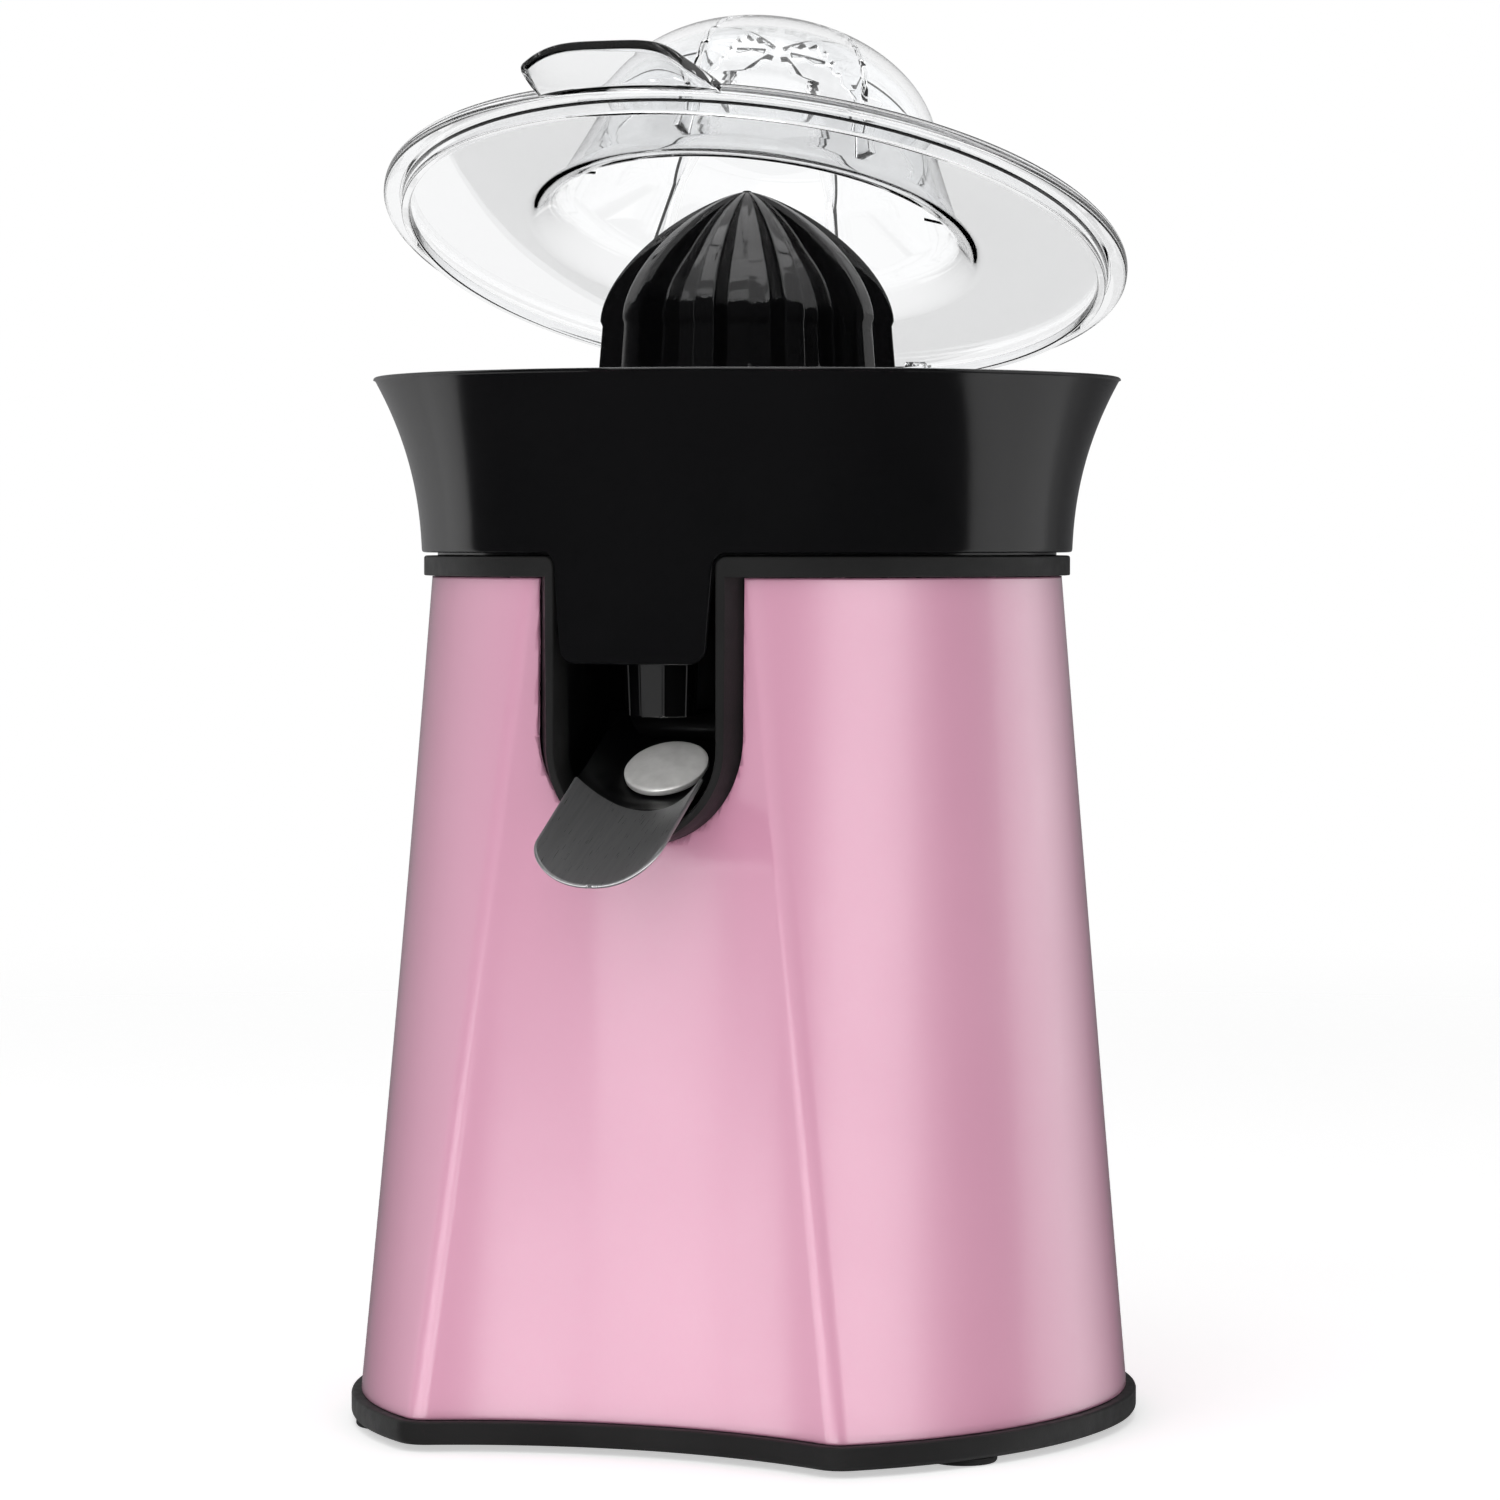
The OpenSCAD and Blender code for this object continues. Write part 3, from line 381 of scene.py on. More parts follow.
# satin moulding with a fine spark-eroded grain
SATIN = material("satin_black", rgb(41, 41, 41), 0.46)
v = coords(SATIN)
put(SATIN, "Base Color", ramp(SATIN, noise(SATIN, v, 30.0, 3.0), rgb(37, 37, 37), rgb(45, 45, 45)))
put(SATIN, "Roughness", spread(SATIN, noise(SATIN, v, 300.0, 3.0), 0.4, 0.5))
SATIN.node_tree.nodes["Principled BSDF"].inputs["Specular IOR Level"].default_value = 0.22
bump(SATIN, noise(SATIN, v, 1900.0, 2.0), 0.16, 0.0002)

# black moulding inside the bay and on the spout, smoother than the satin; its base colour is kept far darker than the
# collar's to paint in the shade of the recess under the bowl
BAY_PAINTED_SHADE = material("bay_black_painted_shade", rgb(14, 14, 15), 0.34)
v = coords(BAY_PAINTED_SHADE)
put(BAY_PAINTED_SHADE, "Base Color", ramp(BAY_PAINTED_SHADE, noise(BAY_PAINTED_SHADE, v, 30.0, 3.0), rgb(11, 11, 12), rgb(17, 17, 18)))
put(BAY_PAINTED_SHADE, "Roughness", spread(BAY_PAINTED_SHADE, noise(BAY_PAINTED_SHADE, v, 240.0, 3.0), 0.28, 0.4))
bump(BAY_PAINTED_SHADE, noise(BAY_PAINTED_SHADE, v, 1500.0, 2.0), 0.1, 0.0002)

RUBBER = material("rubber_black", rgb(30, 30, 30), 0.75)
v = coords(RUBBER)
put(RUBBER, "Base Color", ramp(RUBBER, noise(RUBBER, v, 120.0, 4.0), rgb(24, 24, 24), rgb(40, 40, 40)))
put(RUBBER, "Roughness", spread(RUBBER, noise(RUBBER, v, 400.0, 3.0), 0.65, 0.85))
bump(RUBBER, noise(RUBBER, v, 900.0, 4.0), 0.25, 0.0002)

# clear moulded plastic
CLEAR = material("clear_plastic", (0.985, 0.99, 0.995, 1), 0.02, IOR=1.46, Transmission_Weight=1.0)
v = coords(CLEAR)
put(CLEAR, "Roughness", spread(CLEAR, noise(CLEAR, v, 60.0, 3.0), 0.0, 0.035))
bump(CLEAR, noise(CLEAR, v, 38.0, 1.0), 0.03, 0.0004)


def metal(name, c0, c1, r0, r1, stretch=None, grain=900.0, depth=0.12):
    m = material(name, c0, (r0 + r1) / 2, 1.0)
    v = coords(m, stretch or (1, 1, 1))
    put(m, "Base Color", ramp(m, noise(m, v, grain * 0.4, 3.0), c0, c1))
    put(m, "Roughness", spread(m, noise(m, v, grain, 3.0), r0, r1))
    bump(m, noise(m, v, grain, 2.0), depth, 0.0001)
    return m


BRUSHED = metal("brushed_lip", rgb(126, 126, 127), rgb(136, 136, 137), 0.27, 0.32, (8, 0.2, 0.2), 700.0, 0.012)
DISC = metal("satin_disc", rgb(196, 195, 193), rgb(212, 211, 209), 0.34, 0.42, None, 700.0, 0.05)
DISC.node_tree.nodes["Principled BSDF"].inputs["Metallic"].default_value = 0.35
BRUSHED.node_tree.nodes["Principled BSDF"].inputs["Metallic"].default_value = 0.55
STEEL = metal("steel", rgb(165, 166, 169), rgb(190, 191, 194), 0.2, 0.35, (1, 1, 12), 300.0, 0.08)
ZINC = metal("zinc", rgb(150, 152, 156), rgb(178, 180, 184), 0.32, 0.5, None, 240.0, 0.2)
LAMINATION = metal("lamination", rgb(82, 83, 88), rgb(110, 111, 116), 0.4, 0.6, (0.02, 0.02, 6), 160.0, 0.6)
BRONZE = metal("bronze", rgb(150, 112, 66), rgb(182, 142, 90), 0.35, 0.5, None, 600.0, 0.2)

COPPER = material("copper", rgb(176, 92, 48), 0.28, 0.9, Coat_Weight=0.6, Coat_Roughness=0.15)
v = coords(COPPER)
w = COPPER.node_tree.nodes.new("ShaderNodeTexWave")
w.bands_direction = "Z"
w.inputs["Scale"].default_value = 420.0
w.inputs["Distortion"].default_value = 1.5
COPPER.node_tree.links.new(v, w.inputs["Vector"])
put(COPPER, "Base Color", ramp(COPPER, w.outputs["Fac"], rgb(120, 58, 28), rgb(196, 108, 60)))
bump(COPPER, w.outputs["Fac"], 0.6, 0.0003)

NYLON = material("natural_nylon", rgb(226, 221, 206), 0.45, Subsurface_Weight=0.15)
v = coords(NYLON)
put(NYLON, "Base Color", ramp(NYLON, noise(NYLON, v, 40.0, 3.0), rgb(216, 210, 193), rgb(234, 230, 217)))
bump(NYLON, noise(NYLON, v, 700.0, 2.0), 0.08, 0.0002)

RED = material("red_plastic", rgb(165, 36, 26), 0.3)
v = coords(RED)
put(RED, "Base Color", ramp(RED, noise(RED, v, 200.0, 3.0), rgb(150, 30, 22), rgb(182, 44, 32)))
bump(RED, noise(RED, v, 900.0, 2.0), 0.06, 0.0002)

SHOWN = {"pink_lacquer": PINK, "gloss_black": GLOSS, "satin_black": SATIN, "clear_plastic": CLEAR, "brushed_lip": BRUSHED,
         "satin_disc": DISC, "rubber_black": RUBBER, "steel": STEEL, "lamination": LAMINATION, "copper": COPPER, "zinc": ZINC,
         "bronze": BRONZE, "natural_nylon": NYLON, "red_plastic": RED}
for s in frame["record"]["subparts"]:
    o = frame["nodes"][s["node"]]
    o.data.materials.clear()
    o.data.materials.append(SHOWN[s["material_slot"]])
# the bay's recess takes the darkened material: painted shade
frame["nodes"]["spout_bay"].data.materials[0] = BAY_PAINTED_SHADE

# ------------------------------------------------------------------ shared sizes, in millimetres
BAND_TOP, SHELL_TOP = 6.7, 191.7
COLLAR_R, COLLAR_TOP = 73.7, 196.2
BAY_HALF, BAY_CZ, FRAME_HALF, FRAME_CZ, STRIP_W = 18.9, 154.5, 23.9, 157.4, 2.1
BOWL_BOT, BOWL_TOP = 196.9, 236.6
HINGE = (0.0, 88.5, 238.9)


# ------------------------------------------------------------------ creased housing outline
def side_pt(a, b, r, t):
    c, s = math.cos(math.radians(t)), math.sin(math.radians(t))
    return np.array([a * c, (b if (t < 0 or t > 180) else r) * s])


def panel_pt(xc, yc, sag, s):
    R = (xc * xc + sag * sag) / (2 * sag)
    w = math.asin(xc / R) * s
    return np.array([R * math.sin(w), yc + sag - (R - R * math.cos(w))])


def blend3(a, c, b, n):
    return [(1 - s) ** 2 * a + 2 * s * (1 - s) * c + s * s * b for s in np.linspace(0, 1, n + 1)]


def housing_outline(a, b, r, xc, sag, n=200, npan=48, nb=10):
    tc = -math.degrees(math.acos(xc / a))
    yc = b * math.sin(math.radians(tc))
    side = [side_pt(a, b, r, tc + 2.3 + (180 - 2 * tc - 4.6) * i / n) for i in range(n + 1)]
    pan = [panel_pt(xc, yc, sag, s) for s in np.linspace(-0.935, 0.935, npan + 1)]
    cr, cl = np.array([xc, yc]), np.array([-xc, yc])
    right, left = blend3(pan[-1], cr, side[0], nb), blend3(side[-1], cl, pan[0], nb)
    return np.array(side[1:-1] + left + pan[1:-1] + right)


LOW = housing_outline(87, 95.6, 87, 49, 11)
HIGH = housing_outline(71.8, 71.8, 71.8, 25.8, 3.5)


def ring_outline(z, grow=0.0):
    s = (z - BAND_TOP) / (SHELL_TOP - BAND_TOP)
    return shrink(LOW + s * (HIGH - LOW), -grow)


def u_cutter(name, half, cz, top, y0, y1, n=96):
    pts = [(half, top)] + [(half * math.cos(a), cz + half * math.sin(a)) for a in np.linspace(0, -math.pi, n)] + [(-half, top)]
    rings = [[(x, y, z) for x, z in pts] for y in (y0, y1)]
    return loft(name, rings)


# ---- lacquered shell
zs = np.concatenate([[6.75, 6.82, 7.0, 7.3], np.linspace(9, 189.5, 62), [191.0, 191.5]])
ins = np.concatenate([[0.42, 0.22, 0.08, 0.0], np.zeros(62), [0.0, 0.0]])
rings = [up(ring_outline(z, -i), z) for z, i in zip(zs, ins)]
inner_zs = np.linspace(191.5, 6.75, 14)
rings += [up(ring_outline(z, -1.2), z) for z in inner_zs]
shell = loft("shell", rings, close_rings=True)
shell.data.polygons.foreach_set("use_smooth", [True] * len(shell.data.polygons))
whole = shell.copy()
whole.data = shell.data.copy()
scene.collection.objects.link(whole)
boolean(shell, u_cutter("cut", FRAME_HALF + 0.05, FRAME_CZ, 200, -110, -40))
hole = lathe("cut", fil([(0, -12), (6, -12), (6, 12), (0, 12)], 0), 64)
moved(hole, rot(90, "X"))
moved(hole, shift(0, 85, 24))
boolean(shell, hole)
modify(shell, "DATA_TRANSFER", object=whole, use_loop_data=True, data_types_loops={"CUSTOM_NORMAL"}, loop_mapping="POLYINTERP_NEAREST")
drop(whole)
done(shell, "shell_lacquered", "housing", PINK, ["housing_front", "housing_rear", "housing_left", "housing_right"], angle=None)

# ---- base tray: rounded band, floor, vents, screw wells
o6 = ring_outline(BAND_TOP, 2.2)
prof = [(5.5, 4.0), (5.5, 10.7), (3.8, 10.7), (3.8, 6.7), (0.75, 6.7), (0.4, 6.62), (0.12, 6.38), (0.0, 6.0), (0.0, 2.6), (0.1, 2.15), (0.4, 1.72), (0.9, 1.52), (1.6, 1.5)]
rings = [up(shrink(o6, d), z) for d, z in prof]
tray = loft("tray", rings)
for x, y in ((68, -49), (-68, -49), (58, 56), (-58, 56)):
    boolean(tray, lathe("c", fil([(0, 0), (2.6, 0), (2.6, 8), (0, 8)], 0), 32, centre=(x, y)))
for x, y in ((54, -24), (-54, -24), (56, 28), (-56, 28)):
    boolean(tray, lathe("c", [(0, 0), (4.5, 0), (4.0, 1.9), (4.0, 2.6), (2, 2.6), (2, 9), (0, 9)], 48, centre=(x, y)))
for i in range(-4, 5):
    s = [(i * 7 + 1.5 * math.cos(a), 13.5 + 1.5 * math.sin(a)) for a in np.linspace(math.pi, 2 * math.pi, 13)] + \
        [(i * 7 + 1.5 * math.cos(a), 46.5 + 1.5 * math.sin(a)) for a in np.linspace(0, math.pi, 13)]
    boolean(tray, loft("c", [up(np.array(s), 0), up(np.array(s), 8)]))
done(tray, "base_band", "housing", SATIN, ["base_tray"], angle=30)

# ---- feet
feet = []
for x, y in ((68, -49), (-68, -49), (58, 56), (-58, 56)):
    feet.append(lathe("foot", fil([(0, 0.35, 0), (4.4, 0.35, 0.2), (4.7, 0, 0.2), (7.1, 0, 0.5), (7.5, 0.6, 0.3), (7.5, 1.5, 0.1), (2.5, 1.5, 0), (2.5, 4, 0), (4, 4, 0.2), (3, 6, 0.3), (0, 6, 0)], 0.2), 72, centre=(x, y)))
done(join("feet", *feet), "feet_rubber", "housing", RUBBER, ["rubber_feet"])


# ------------------------------------------------------------------ black collar with the frame round the bay
def u_pt(half, cz, top, t):
    """t from 0 (top, -X side) to 1 (top, +X side), the same fraction on both curves."""
    m = 4 / 44
    if t < m:
        return np.array([-half, top + (cz - top) * t / m])
    if t > 1 - m:
        return np.array([half, top + (cz - top) * (1 - t) / m])
    a = math.radians(180 + 180 * (t - m) / (1 - 2 * m))
    return np.array([half * math.cos(a), cz + half * math.sin(a)])


def on_cyl(s, z, depth, R=COLLAR_R):
    """Point over arc length s at the front (+X positive), depth inwards along the radius."""
    a = s / R
    return np.array([(R - depth) * math.sin(a), -(R - depth) * math.cos(a), z])


def arc_of(x, R=COLLAR_R):
    return R * math.asin(x / R)


CR = 2.4
sections = []


def collar_section(s):
    f = [on_cyl(s, 196.2, 0.55), on_cyl(s, 196.12, 0.28), on_cyl(s, 195.92, 0.08), on_cyl(s, 195.65, 0.0),
         on_cyl(s, 192.0, 0.0), on_cyl(s, 191.78, 0.06), on_cyl(s, 191.7, 0.3), on_cyl(s, 191.7, 2.5),
         on_cyl(s, 193.0, 2.5), on_cyl(s, 196.2, 2.5)]
    return f


def front_section(bin_, bout, outer_pts):
    """bin_: (s, z) on the inner edge; bout: (s, z) on the strip's outer edge."""
    d = (np.array(bout) - np.array(bin_))
    L = np.linalg.norm(d)
    d = d / L
    b = np.array(bin_)
    f = [on_cyl(*b, 0.55), on_cyl(*(b + d * 0.08), 0.28), on_cyl(*(b + d * 0.28), 0.08), on_cyl(*(b + d * 0.55), 0.0),
         on_cyl(*(np.array(bout) - d * 0.3), 0.0), on_cyl(*(np.array(bout) - d * 0.08), 0.06), on_cyl(*bout, 0.22)]
    return f + outer_pts


xc = BAY_HALF + CR
s_c = arc_of(xc)
half_turn = math.pi * COLLAR_R


def frame_outer(c, ybev, a):
    return [np.array([c[0], ybev, c[1]]), np.array([c[0], -62.0, c[1]]), np.array([a[0], -62.0, a[1]])]


right = []
for s in np.linspace(half_turn, s_c, 90)[:-1]:
    right.append(collar_section(s))
c_top = np.array([FRAME_HALF, 191.7])
b_top = np.array([arc_of(21.0), 191.7])
a_top = np.array([BAY_HALF, 191.7])
for k in range(9):
    w = math.pi / 2 * k / 8
    b = (arc_of(xc - CR * math.sin(w)), COLLAR_TOP - CR + CR * math.cos(w))
    t = k / 8
    inner = on_cyl(b[0], b[1], 2.5)
    base = on_cyl(b_top[0], 191.7, 2.5)
    end = [base + (np.array([FRAME_HALF, -66.0, 191.7]) - base) * t,
           on_cyl(s_c, 193.0, 2.5) + (np.array([FRAME_HALF, -62.0, 191.7]) - on_cyl(s_c, 193.0, 2.5)) * t,
           inner + (np.array([BAY_HALF, -62.0, b[1]]) - inner) * t]
    right.append(front_section(b, b_top, end))


def u_section(t):
    a, c = u_pt(BAY_HALF, BAY_CZ, 191.7, t), u_pt(FRAME_HALF, FRAME_CZ, 191.7, t)
    d = (c - a) / np.linalg.norm(c - a)
    b = a + STRIP_W * d
    fy = -math.sqrt(COLLAR_R ** 2 - b[0] ** 2)
    return front_section((arc_of(a[0]), a[1]), (arc_of(b[0]), b[1]), frame_outer(c, fy + 5.3, a))


ts = np.concatenate([np.linspace(1, 1 - 4 / 44, 12), np.linspace(1 - 4 / 44, 0.5, 50)[1:]])
right += [u_section(t) for t in ts]
left = [[np.array([-p[0], p[1], p[2]]) for p in sec] for sec in right[:-1]][::-1]
secs = [np.array(s) for s in right + left[:-1]]
collar = loft("collar", secs, close_rings=True)
deck = lathe("deck", fil([(7.9, 192.0), (COLLAR_R - 1.2, 192.0), (COLLAR_R - 1.2, 194.2), (17.5, 194.2), (16.0, 195.0, 1.2), (11.6, 195.0, 0.8), (11.0, 196.2, 0.6), (11.0, 217.0, 0.4), (9.2, 217.0, 0.2), (9.2, 214.0, 0), (7.9, 214.0, 0)], 0.2), 144)
boolean(deck, box_mesh("cut", (-BAY_HALF, -90, 180), (BAY_HALF, -30, 230), 0))
tower = lathe("tower", fil([(8.0, 176.0), (11.0, 176.0), (11.0, 192.4), (8.0, 192.4)], 0.4), 96)
parts = [collar, deck, tower]
for x, y in ((54, -24), (-54, -24), (56, 28), (-56, 28)):
    parts.append(lathe("boss", fil([(2, 188), (2, 176), (5, 176), (5, 192.1), (0.001, 192.1), (0.001, 188)], 0.3), 48, centre=(x, y)))
for x, y in ((33, -12), (-22, -12.5), (47, 17), (-33, 32)):
    parts.append(lathe("boss", fil([(1.5, 189), (1.5, 184), (5, 184), (5, 192.1), (0.001, 192.1), (0.001, 189)], 0.3), 48, centre=(x, y)))
done(join("top_deck", *parts), "collar_frame", "housing", SATIN, ["top_deck"], angle=34)

# ---- cord inlet bush
g = lathe("grommet", fil([(3.6, -3, 0.6), (7, -3, 0.5), (8, -1.8, 0.4), (8, -0.9, 0.1), (5.95, -0.9, 0.1), (5.95, 2.3, 0.1), (8, 2.3, 0.2), (8, 4, 0.5), (3.6, 4, 0.3)], 0.3), 96)
moved(g, rot(90, "X"))
moved(g, shift(0, 85.6, 24))
done(g, "cord_inlet_bush", "housing", RUBBER, ["cord_grommet"])


# ------------------------------------------------------------------ juice bowl
def bowl_r(z):
    t = max((z - BOWL_BOT) / (BOWL_TOP - BOWL_BOT), 0.0)
    return 74.2 + 1.5 * t + 9.5 * t ** 2.2


def bowl_path():
    """Lower edge of the bowl and its front apron, from the back round the +X side to the front centre: (arc s, z) at radius 74.2."""
    R = 74.2
    A = lambda x: R * math.asin(x / R)
    pts = [(s, BOWL_BOT) for s in np.linspace(math.pi * R, A(21.4), 88)]
    for k in range(1, 9):
        w = math.pi / 2 * k / 8
        pts.append((A(21.4 - 2.8 * math.sin(w)), 193.8 + 3.1 * math.cos(w)))
    for k in range(1, 9):
        x = 18.6 + (17.2 - 18.6) * k / 8
        pts.append((A(x), 193.8 + (176.8 - 193.8) * k / 8))
    for k in range(1, 11):
        w = math.pi / 2 * k / 10
        pts.append((A(13.2 + 4 * math.cos(w)), 176.8 - 4 * math.sin(w)))
    for x in np.linspace(13.2, 0, 16)[1:]:
        pts.append((A(x), 172.8))
    return pts


P = bowl_path()
mirror = [(-s, z) for s, z in P[:-1]][::-1]
P = np.array(P + mirror[:-1])
K = len(P)
tang = np.roll(P, -1, 0) - np.roll(P, 1, 0)
wrap = 2 * math.pi * 74.2
tang[:, 0] = (tang[:, 0] + wrap / 2) % wrap - wrap / 2
tang /= np.linalg.norm(tang, axis=1)[:, None]
outn = np.column_stack([-tang[:, 1], tang[:, 0]])
outn[outn[:, 1] > 0.2] *= -1
for k in range(K):
    if abs(P[k, 1] - BOWL_BOT) < 1e-6 or abs(P[k, 1] - 172.8) < 1e-6:
        outn[k] = (0, -1)
    elif outn[k][0] * P[k, 0] < 0:
        pass
# outward means away from the black face: down, and towards larger |s| on the apron's sides
for k in range(K):
    s, z = P[k]
    if 173.0 < z < 196.6:
        n = outn[k]
        want = np.array([math.copysign(1, s), -0.35])
        if n @ want < 0:
            outn[k] = -n
# angles of the upper grid: spread the apron's steep sides a little
w = np.abs(np.diff(np.append(P[:, 0], P[0, 0] - wrap)))
dz = np.abs(np.diff(np.append(P[:, 1], P[0, 1])))
step = w + 0.12 * dz
step = step / step.sum() * wrap
theta_top = (P[0, 0] - np.concatenate([[0], np.cumsum(step)[:-1]])) / 74.2


def cyl(a, r, z):
    return (r * math.sin(a), -r * math.cos(a), z)


upper = [bowl_r(z) for z in (0,)]
rows = []
# outer skin up from the lower edge
Z_JOIN = 203.0
for d, depth in ((0.0, 0.75), (0.1, 0.3), (0.3, 0.08), (0.62, 0.0)):
    rows.append([cyl((P[k, 0] - outn[k, 0] * d) / 74.2, 74.2 - depth, P[k, 1] - outn[k, 1] * d) for k in range(K)])
for j in range(1, 13):
    f = j / 13
    row = []
    for k in range(K):
        z0 = P[k, 1] - outn[k, 1] * 0.62
        a0 = (P[k, 0] - outn[k, 0] * 0.62) / 74.2
        z = z0 + (Z_JOIN - z0) * f
        da = (theta_top[k] - a0 + math.pi) % (2 * math.pi) - math.pi
        row.append(cyl(a0 + da * f, bowl_r(z), z))
    rows.append(row)
for z in np.linspace(Z_JOIN, 235.7, 30):
    rows.append([cyl(theta_top[k], bowl_r(z), z) for k in range(K)])
RIM = 85.2
rim = [(RIM - 0.02, 235.95), (RIM - 0.16, 236.3), (RIM - 0.42, 236.52), (RIM - 0.75, 236.6), (RIM - 1.9, 236.6), (RIM - 2.25, 236.5), (RIM - 2.5, 236.2), (bowl_r(235.3) - 2.5, 235.3)]
inner = [(bowl_r(z) - 2.5, z) for z in np.linspace(234.2, 206.5, 20)]
floor = fil([(bowl_r(206.5) - 2.5, 206.5), (69.9, 202.5, 3.5), (13.6, 202.5, 1.6), (13.6, 222.0, 0.7), (11.4, 222.0, 0.5), (11.4, 199.2, 0.3), (13.6, 199.2, 0), (14.6, 200.0, 0), (71.6, 200.0, 1.0), (71.6, 198.0, 0)], 0.5, closed=False)[1:]
for r, z in rim + inner + floor:
    rows.append([cyl(theta_top[k], r, z) for k in range(K)])
rows.append([cyl(P[k, 0] / 74.2, 71.6, P[k, 1] + (0.0 if P[k, 1] < 196 else 0.3)) for k in range(K)])
bowl = loft("bowl", rows, close_rings=True)
# nozzle: faceted tube under the floor with fine raised ribs
noz = []
NF = 8
for r, z in ((6.35, 161.0), (6.75, 161.0), (7.05, 161.12), (7.2, 161.4), (7.6, 172.0), (8.0, 184.0), (8.6, 200.8)):
    ring = []
    for k in range(NF):
        a = math.radians(22.5 + 45 * k)
        for u, g in ((-0.07, 0.0), (-0.05, 0.14), (-0.02, 0.2), (0.02, 0.2), (0.05, 0.14), (0.07, 0.0), (0.2, 0.0), (0.35, 0.0), (0.5, 0.0), (0.65, 0.0), (0.8, 0.0)):
            aa = a + math.radians(45) * u
            flat = math.cos(math.radians(22.5)) / math.cos((aa - a) % math.radians(45) - math.radians(22.5)) if g == 0 else 1.0
            rr = r * (0.35 + 0.65 * flat) + (g if z > 161.3 else 0)
            ring.append((rr * math.cos(aa), -53.5 + rr * math.sin(aa), z))
    noz.append(ring)
for r, z in ((5.5, 200.8), (5.5, 162.0), (5.65, 161.3), (6.0, 161.0)):
    noz.append([(r * math.cos(t), -53.5 + r * math.sin(t), z) for t in [math.atan2(p[1] + 53.5, p[0]) for p in noz[0]]])
nozzle = loft("nozzle", noz, close_rings=True)
boolean(bowl, lathe("c", [(0, 198), (5.5, 198), (5.5, 202.3), (5.9, 202.8), (0, 202.8)], 64, centre=(0, -53.5)))
web = box_mesh("web", (-1, -72.4, 176), (1, -60.6, 200.6), 0.35, 2)
foot = lathe("foot", fil([(40, 194.5), (42.5, 194.5), (42.5, 200.3), (40, 200.3)], 0.5), 128)
spigot = lathe("spigot", fil([(68.9, 194.9), (70.6, 194.9), (70.6, 200.3), (68.9, 200.3)], 0.5), 192)
done(join("bowl_all", bowl, web, foot, spigot), "bowl_black", "bowl", GLOSS, ["juice_bowl"], angle=30)
done(nozzle, "bowl_nozzle", "bowl", GLOSS, ["juice_bowl"], angle=30)

# ---- hinge bracket behind the rim, and the pin
done(from_node("hinge_bracket", 0.5, 3, 1.0, 40), "bracket_black", "bowl", GLOSS, ["hinge_bracket"])
pin = lathe("pin", fil([(0, -15.5, 0), (1.6, -15.5, 0.35), (1.6, 15.5, 0.35), (0, 15.5, 0)], 0.3), 48)
moved(pin, rot(90, "Y"))
moved(pin, shift(*HINGE))
done(pin, "hinge_pin_steel", "lid", STEEL, ["hinge_pin"])

# ---- strainer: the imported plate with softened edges
done(from_node("strainer", 0.18, 1, 0.8, 40), "strainer_plate", "bowl", GLOSS, ["strainer"])


# ------------------------------------------------------------------ reamer
def env_r(z):
    if z < 249.5:
        return 36.0 - (z - 213) * 3.1 / 36.5
    s = min((z - 249.5) / (279.0 - 249.5), 1.0)
    return 32.9 * max(1 - s ** 1.7, 0) ** 0.75 + 0.6


def smooth_tri(d, w, r):
    """A ridge of half width w with a rounded top of radius share r."""
    x = np.abs(d) / w
    y = np.where(x < r, 1 - r / 2 - x * x / (2 * r), 1 - x)
    return np.maximum(y, 0) ** 1.0


RIB_U = np.array([0, 0.05, 0.085, 0.1, 0.108, 0.114, 0.119, 0.125, 0.135, 0.15, 0.165, 0.175, 0.183, 0.19, 0.197, 0.205, 0.22, 0.26, 0.32, 0.37, 0.39, 0.4, 0.41, 0.43, 0.46, 0.475, 0.485, 0.493, 0.5])
RIB_U = np.concatenate([RIB_U, 1 - RIB_U[1:-1][::-1]])


def land(d, a=0.115, b=0.19, r=0.02):
    """Flat-topped rib, steep flanks, both edges rounded over r of the pitch."""
    tot = 0.0
    for w, o in ((0.1, -1), (0.2, -0.5), (0.4, 0), (0.2, 0.5), (0.1, 1)):
        tot += w * min(max((b - d - o * r) / (b - a), 0.0), 1.0)
    return tot


RIB_U = np.unique(np.round(RIB_U, 5))


def rib_ring(z, grow=0.0):
    e = env_r(z)
    dep = min(7, 0.28 * e)
    short = 5.0 if z < 216 else 0.0 if z > 240 else 5.0 * (1 - ((z - 216) / 24) ** 2)
    pts = []
    for k in range(10):
        for u in RIB_U:
            d = min(u, 1 - u)
            c = abs(u - 0.5)
            r = e - dep + dep * land(d) + short * float(smooth_tri(c, 0.1, 0.12)) + grow
            # the valley is slightly dished
            v = min(max((d - 0.12) / 0.38, 0), 1)
            r -= 0.35 * math.sin(math.pi * v) * min(1, e / 20) * (1 if short < 0.5 else 0.3)
            a = math.radians(-87 + 36 * (k + u))
            pts.append((r * math.cos(a), r * math.sin(a), z))
    return pts


def circ(r, z):
    return [(r * math.cos(a), r * math.sin(a), z) for a in [math.radians(-87 + 36 * (k + u)) for k in range(10) for u in RIB_U]]


